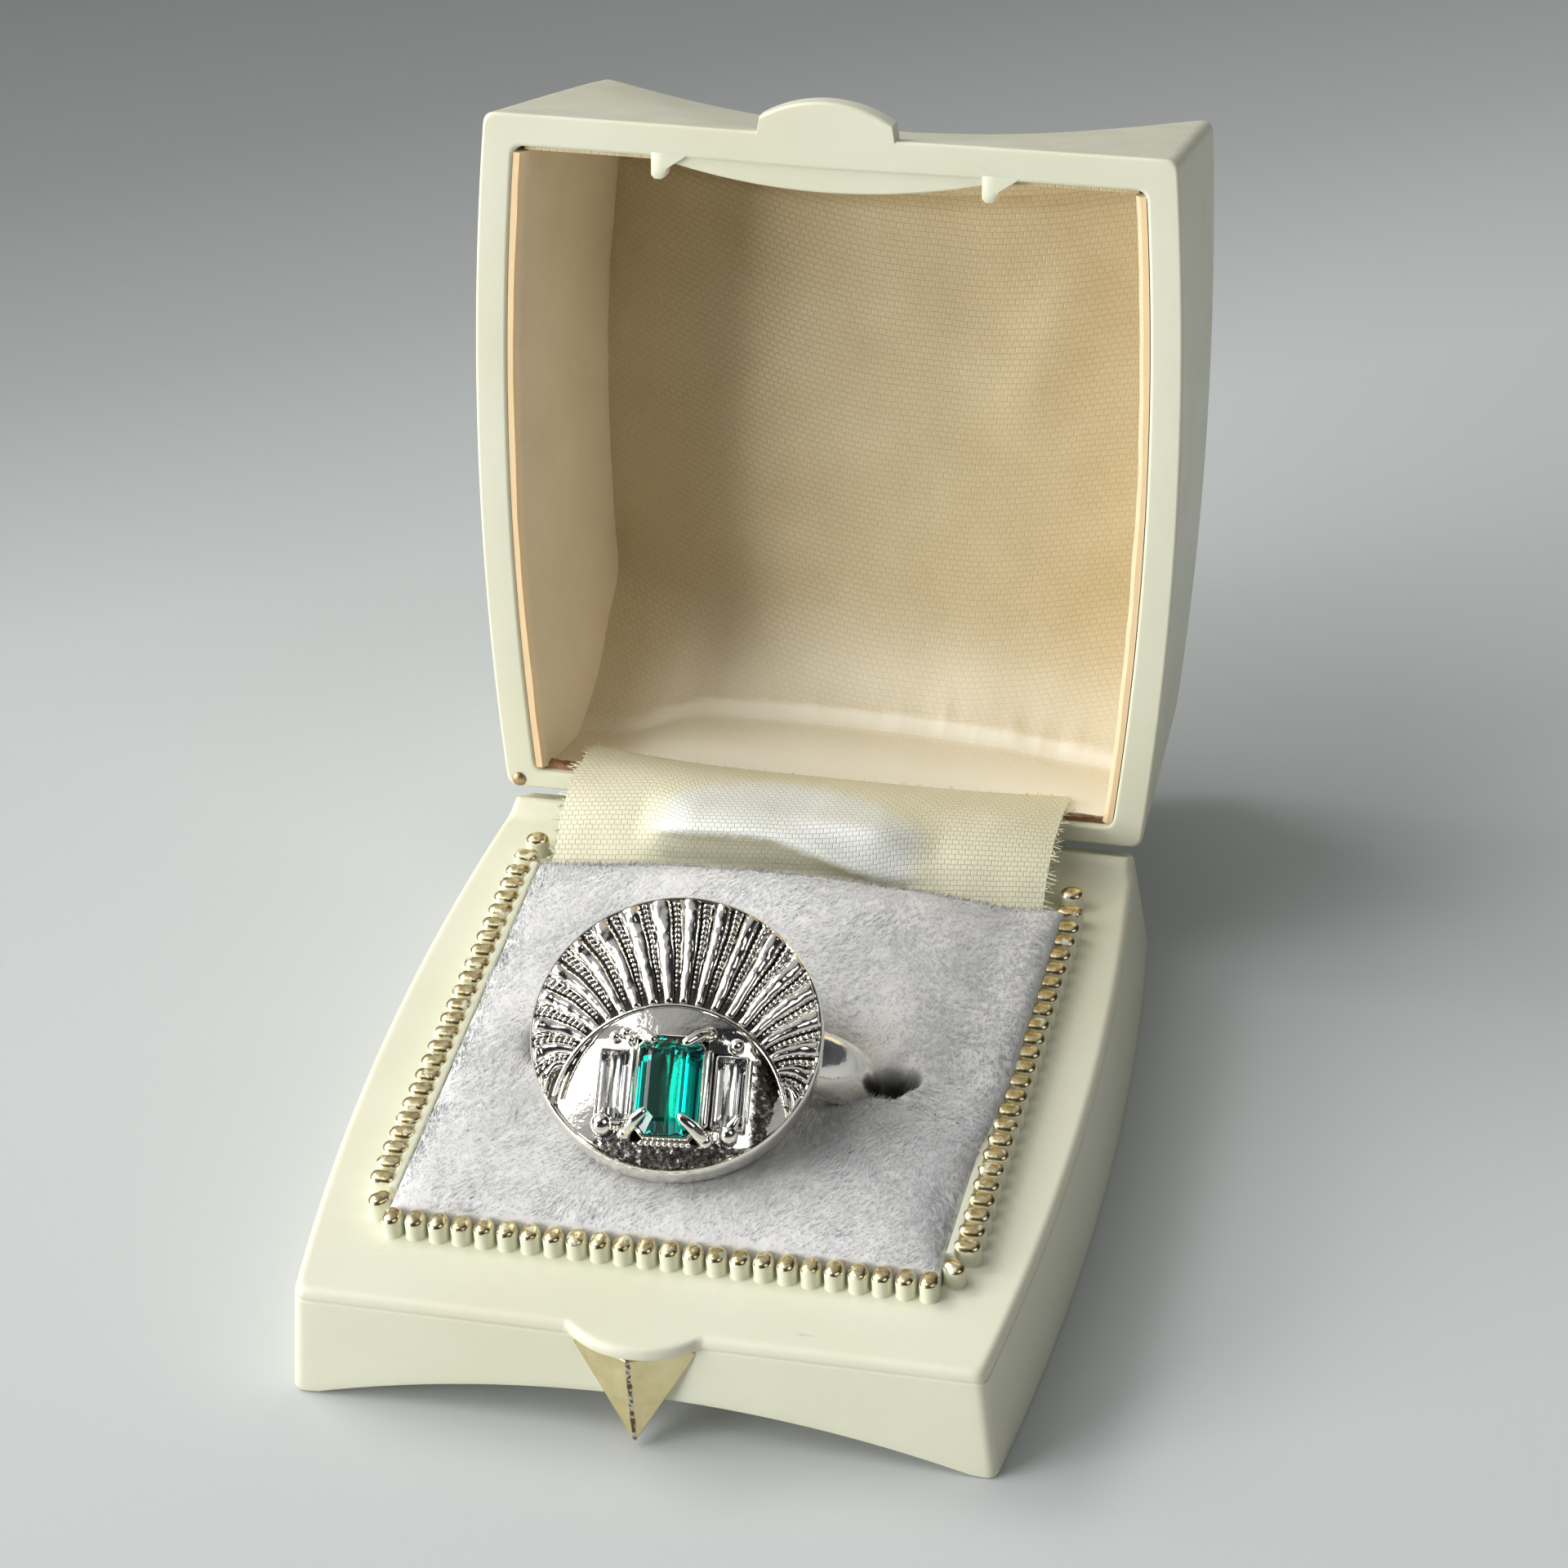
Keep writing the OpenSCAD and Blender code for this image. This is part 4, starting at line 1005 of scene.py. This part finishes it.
def ray_patch():
    """The fan of rays outside the arch: a broad smooth ridge, a thin line beside it and then a beaded one.
    The second result is its mask named groove."""
    aa, ss = np.meshgrid(np.linspace(RAY_LOW, RAY_HIGH, 520), np.linspace(0, 1, 108), indexing="ij")
    root_angle, tip_angle = np.radians(87 + (aa - RAY_FIRST) / RAY_FAN), np.radians(aa)
    root_way, tip_way = (np.stack([np.cos(a), np.sin(a)], -1) for a in (root_angle, tip_angle))
    root, tip = ARCH_LINE_R * root_way + [0, ARCH_C_Y], FACE_R * tip_way
    span = np.linalg.norm(tip - root, axis=-1, keepdims=True)
    plan = bend(root, root + 0.45 * span * root_way, tip, ss[..., None])
    d = np.linalg.norm(plan, axis=-1)
    flat = plan @ [[1, 0, 0], [0, 1, 0]]
    u = (aa - RAY_FIRST) / RAY_STEP + 0.08 * cloudy(flat, 2.6, 2, 7.0)
    smooth_at = (u - np.round(u)) / (0.31 + 0.03 * np.sin(7.3 * np.round(u)))
    line_at, beaded_at = ((u - at - np.round(u - at)) / half for at, half in ((0.345, 0.045), (0.515, 0.125)))
    smooth, line, grain = (np.sqrt(np.maximum(0, 1 - np.abs(v) ** p))
                           for v, p in ((smooth_at, 2.3), (line_at, 2), (beaded_at, 2)))
    beads = 0.35 + 0.65 * np.abs(np.sin(pi * ss * span[..., 0] / 0.36))
    swell = np.clip(np.radians(RAY_STEP) * np.maximum(d, 4.0) / 1.6, 0.55, 1.15)
    ends = ease(0.0, 0.08, ss) * (1 + 0.4 * ease(-1, -7, plan[..., 0]) * bump(ss, 0.9, 0.08))
    lumpy = 1 + 0.14 * cloudy(flat, 0.9, 2, 3.0)
    relief = np.maximum(0.50 * smooth * ends * lumpy, 0.36 * line * ease(0.1, 0.3, ss))
    relief = np.maximum(relief, 0.30 * grain * beads * ease(0.06, 0.2, ss)) * swell
    z = dome(d) - 0.2 + relief * ease(9.3, 9.05, d) - 0.1 * ease(9.1, 9.3, d)
    keep = np.linalg.norm(root, axis=-1)[:, 0] < 9.1
    body, faces = face_slab(np.concatenate([plan, z[..., None]], -1)[keep], FACE_FLOOR)
    groove = (1 - ease(0.05, 0.24, relief))[keep].ravel()
    return (on_head(body), faces), np.concatenate([groove, np.ones(len(body) - len(groove))])


def reach_in_circle(heading, offset, radius):
    """How far each direction goes from a point at an offset from a circle's middle to its line."""
    along = heading @ offset
    return np.sqrt(along**2 + radius**2 - np.dot(offset, offset)) - along


def setting_reach(way):
    """How far the pit under the stones, a cross of two rectangles, reaches from its middle."""
    c, s = np.abs(way) + 1e-9
    return max(min(half_x / c, half_y / s) for half_x, half_y in ((4.72, 2.5), (2.25, 3.5)))


def field_patch():
    """The face inside the arch, with the pit of the stones. It is pillowed, so its left takes the light and
    its right and foot stay dark. The second result is its mask named groove."""
    centre, heading = np.array(EMERALD_C, float), circle(288)
    outer = np.minimum(reach_in_circle(heading, centre, 9.12),
                       reach_in_circle(heading, centre - [0, ARCH_C_Y], ARCH_LINE_R + 0.02))
    inner = np.minimum([setting_reach(way) for way in heading], outer - 0.25)
    rings, masks = [], []
    for share in np.concatenate([[1.0], np.linspace(0.985, 0.0, 30)]):
        plan = centre + heading * (inner + (outer - inner) * share)[:, None]
        x, y = plan.T
        d = np.hypot(x, y)
        curve = 0.016 - 0.011 * ease(-1.0, 0.3, y)
        z = dome(d) + 0.2 - curve * np.square(x + 0.6) - 0.05 * ease(0.92, 1, share)
        z -= 0.12 * ease(3.5, 7.0, x) * (x - 3.5) + 0.5 * ease(-7.2, -9.1, y) + 0.25 * ease(8.9, 9.15, d)
        dark = 0.62 * ease(-6.9, -7.9, y) * ease(7.5, 5.0, np.abs(x - 0.4))
        dark += 0.72 * ease(4.9, 5.6, x) * ease(-0.5, -2, y)
        rings.append(at_height(plan, z + dark * 0.16 * cloudy(at_height(plan, 0), 0.42, 3, 4.0)))
        masks.append(np.clip(dark, 0, 0.72))
    edge = rings[-1][:, :2]
    for share, z, mask in ((1, -0.1, 0.3), (1, -0.35, 1), (0.8, -0.45, 1), (0.4, -0.45, 1), (0.03, -0.45, 1)):
        rings.append(at_height(centre + (edge - centre) * share, z))
        masks.append(np.full(len(edge), mask))
    floor = at_height(rings[0][:, :2], FACE_FLOOR)
    return tube(on_head([floor] + rings)), np.concatenate([np.zeros(len(edge)), *masks, [0, 1]])


def arch_line_body():
    """The polished line of the arch, a round wire along it."""
    across, up = circle(14).T
    r, half = ARCH_LINE_R + 0.17 * across, radians(79.5)
    rings = []
    for a in np.linspace(-half, half, 120):
        x, y = r * sin(a), ARCH_C_Y + r * cos(a)
        rings.append(np.column_stack([x, y, dome(np.hypot(x, y)) + 0.14 + 0.2 * up]))
    return tube(on_head(rings))


def cut_outline(place, length, width, corner, z):
    """A rectangle with cut corners, as eight points."""
    a, b = width / 2, length / 2
    c, d = a - corner, b - corner
    plan = [(c, -b), (a, -d), (a, d), (c, b), (-c, b), (-a, d), (-a, -d), (-c, -b)]
    return [(place[0] + x, place[1] + y, z) for x, y in plan]


def stone_frame(place, length, width, cut, low, high, wall):
    """The thin wall of metal round a stone, its top edge eased."""
    return hoop([cut_outline(place, length + 0.06 + 2 * grow, width + 0.06 + 2 * grow, cut, z) for grow, z in
                 ((0, low), (0, high - 0.05), (wall * 0.3, high), (wall * 0.7, high), (wall, high - 0.07),
                  (wall, low))])


def foil_cup(place, girdle_z, rows):
    """The bright faceted cup that a stone sits in, so that light comes back through it."""
    inside, outside = ([cut_outline(place, l + grow, w + grow, c, girdle_z + z - drop)
                        for l, w, c, z in rows if z < 0] for grow, drop in ((0.08, 0.05), (0.3, 0.16)))
    return tube(inside + outside[::-1])


def build_ring():
    """Band, head, rays, arch and settings, soldered into one piece."""
    rays, ray_groove = ray_patch()
    field, field_groove = field_patch()
    small = []
    for base, tip in (((-2.25, -0.35), (-1.15, -1.2)), ((2.3, -0.2), (1.0, -1.3)),
                      ((-2.6, -7.05), (-1.4, -6.05)), ((2.55, -7.35), (1.05, -6.3))):
        foot, end = np.array([*base, 0.75]), np.array([*tip, 2.12])
        mid = (foot + end) / 2 + [0, 0, 0.42]
        small += [round_bar(foot, mid, 0.5, 0.4), round_bar(mid, end, 0.4, 0.33), ball((*base, 0.85), 0.5)]
    for x, y, z, r in ((-4.05, -6.6, 1.0, 0.74), (4.0, -6.85, 0.95, 0.62), (-3.72, -0.75, 1.0, 0.38),
                       (-3.1, -0.5, 1.05, 0.36), (-2.7, -0.95, 1.15, 0.36), (4.05, -1.0, 1.0, 0.5)):
        small += [ball((x, y, z), r), round_bar((x, y, 0.1), (x, y, z), r * 0.9, r * 0.9)]
    small.append(round_bar((4.12, -6.5, 1.1), (4.5, -5.85, 1.35), 0.42, 0.22))
    small += [round_bar((x, low, z), (x, high, z), r, r) for x, low, high, z, r in
              ((-2.42, -5.9, -1.75, 1.3, 0.27), (2.42, -6.4, -1.7, 1.3, 0.27),
               (5.05, -6.0, -2.0, 0.95, 0.14))]
    small.append(stone_frame(EMERALD_C, EMERALD_L, EMERALD_W, 0.75, -0.5, EMERALD_Z - 0.15, 0.14))
    small += [stone_frame(place, BAGUETTE_L, BAGUETTE_W, 0.12, -0.5, BAGUETTE_Z - 0.05, 0.18)
              for place in BAGUETTES.values()]
    small.append(foil_cup(EMERALD_C, EMERALD_Z, EMERALD_ROWS))
    small += [foil_cup(place, BAGUETTE_Z, BAGUETTE_ROWS) for place in BAGUETTES.values()]
    small += [ball((x, -7.72, 0.92), 0.2, steps=10) for x in np.linspace(-1.5, 1.5, 9)]
    settings, setting_faces = joined(small)
    points, faces = joined([rays, field, head_body(), arch_line_body(), band_body(),
                            (on_head(settings), setting_faces)])
    groove = np.concatenate([ray_groove, field_groove])
    groove = np.concatenate([groove, np.zeros(len(points) - len(groove))])
    add_piece("ring_silver", (points, faces), SILVER, "root", ["ring"], {"groove": groove}, 50)


def step_cut(place, girdle_z, rows):
    """A step cut stone."""
    rings = np.array([cut_outline(place, l, w, c, girdle_z + z) for l, w, c, z in rows])
    last = 8 * (len(rows) - 1)
    faces = grid_faces(len(rows), 8, closed=True) + [list(range(8))[::-1], list(range(last, last + 8))]
    return on_head(rings.reshape(-1, 3)), faces


def build_stones():
    add_piece("emerald_stone", step_cut(EMERALD_C, EMERALD_Z, EMERALD_ROWS), EMERALD, "root",
              ["emerald"], crease=1)
    for node, place in BAGUETTES.items():
        add_piece(node + "_stone", step_cut(place, BAGUETTE_Z, BAGUETTE_ROWS), CLEAR, "root",
                  [node], crease=1)


def dress_node(name, material, edge):
    """Gives a metal fitting of the part its material and eased edges."""
    node = frame["nodes"][name]
    node.data.materials.clear()
    node.data.materials.append(material)
    node.modifiers.new("weld", "WELD").merge_threshold = 0.00001
    bevel = node.modifiers.new("ease", "BEVEL")
    bevel.width = edge * MM
    bevel.segments = 3
    bevel.limit_method = "ANGLE"
    bevel.angle_limit = radians(25)


# Stage

def build_stage():
    mesh = bpy.data.meshes.new("floor")
    corners = [(3.0 * x, 3.0 * y, 0) for x, y in ((-1, -1), (1, -1), (1, 1), (-1, 1))]
    mesh.from_pydata(corners, [], [(0, 1, 2, 3)])
    mesh.materials.append(floor_paper())
    floor = bpy.data.objects.new("floor", mesh)
    bpy.context.scene.collection.objects.link(floor)


def build_windows():
    """Far windows on the left, left front and high left, and weak light from the back left and the right."""
    aim, far = Vector((0, 5, 15)) * MM, 1300 * MM
    for name, azimuth, height, size, power in (("window_left", 184, 36, (900, 700), 6.8),
                                               ("window_front", 216, 15, (700, 500), 13.0),
                                               ("window_back", 150, 45, (500, 400), 3.9),
                                               ("window_high", 195, 64, (550, 600), 2.1),
                                               ("room_right", 335, 48, (700, 700), 2.2)):
        a, b = radians(azimuth), radians(height)
        data = bpy.data.lights.new(name, "AREA")
        data.shape = "RECTANGLE"
        data.size, data.size_y = (s * MM for s in size)
        data.energy = power
        data.color = (1.0, 0.995, 0.985)
        light = bpy.data.objects.new(name, data)
        light.location = Vector((cos(a) * cos(b), sin(a) * cos(b), sin(b))) * far
        light.rotation_euler = (aim - light.location).to_track_quat("-Z", "Y").to_euler()
        bpy.context.scene.collection.objects.link(light)


def build_room():
    """The room all round, bright above on the left and dark on the right."""
    bpy.context.scene.view_settings.view_transform = "Standard"
    world = bpy.data.worlds.new("soft_room")
    bpy.context.scene.world = world
    room = Paint(world, "Background", "Generated")
    towards = room.node("ShaderNodeVectorMath", {"operation": "DOT_PRODUCT"})
    towards = room.feed(towards, {0: room.place, 1: (-0.75, 0.45, 0.48)}).outputs["Value"]
    overhead = room.ramp(towards, (0.18, (0.04, 0.04, 0.045)), (0.28, (0.16, 0.16, 0.17)),
                         (0.42, (0.62, 0.62, 0.61)), (0.75, (0.95, 0.95, 0.94)))
    around = room.ramp(towards, (0.0, (0.16, 0.165, 0.18)), (0.6, (0.32, 0.325, 0.33)))
    height = room.ramp(room.axis("Z"), (0.12, 0), (0.45, 1))
    colour = room.node("ShaderNodeMixRGB", Fac=height, Color1=around, Color2=overhead).outputs[0]
    room.set(Color=colour, Strength=0.52)


def build_camera():
    azimuth, elevation, roll = (radians(v) for v in (16.66, 37.94, -4.75))
    data = bpy.data.cameras.new("camera")
    data.lens = 121.875
    data.sensor_width = 36
    data.clip_start, data.clip_end = 0.01, 20
    camera = bpy.data.objects.new("camera", data)
    turned = Euler((pi / 2 - elevation, 0, azimuth)).to_matrix() @ Matrix.Rotation(roll, 3, "Z")
    camera.matrix_world = Matrix.Translation(Vector((80.226, -249.84, 236.54)) * MM) @ turned.to_4x4()
    bpy.context.scene.collection.objects.link(camera)
    bpy.context.scene.camera = camera


build_camera()
build_base()
build_border()
build_lid()
build_pegs()
build_pad()
build_pile()
build_lining()
build_panels()
build_flap()
build_lid_marks()
build_ring()
build_stones()
dress_node("latch_ornament", GOLD, 0.12)
dress_node("lid_ornament", GOLD, 0.12)
dress_node("hinge_pin", PIN, 0.1)
build_stage()
build_windows()
build_room()

bpy.context.view_layer.update()
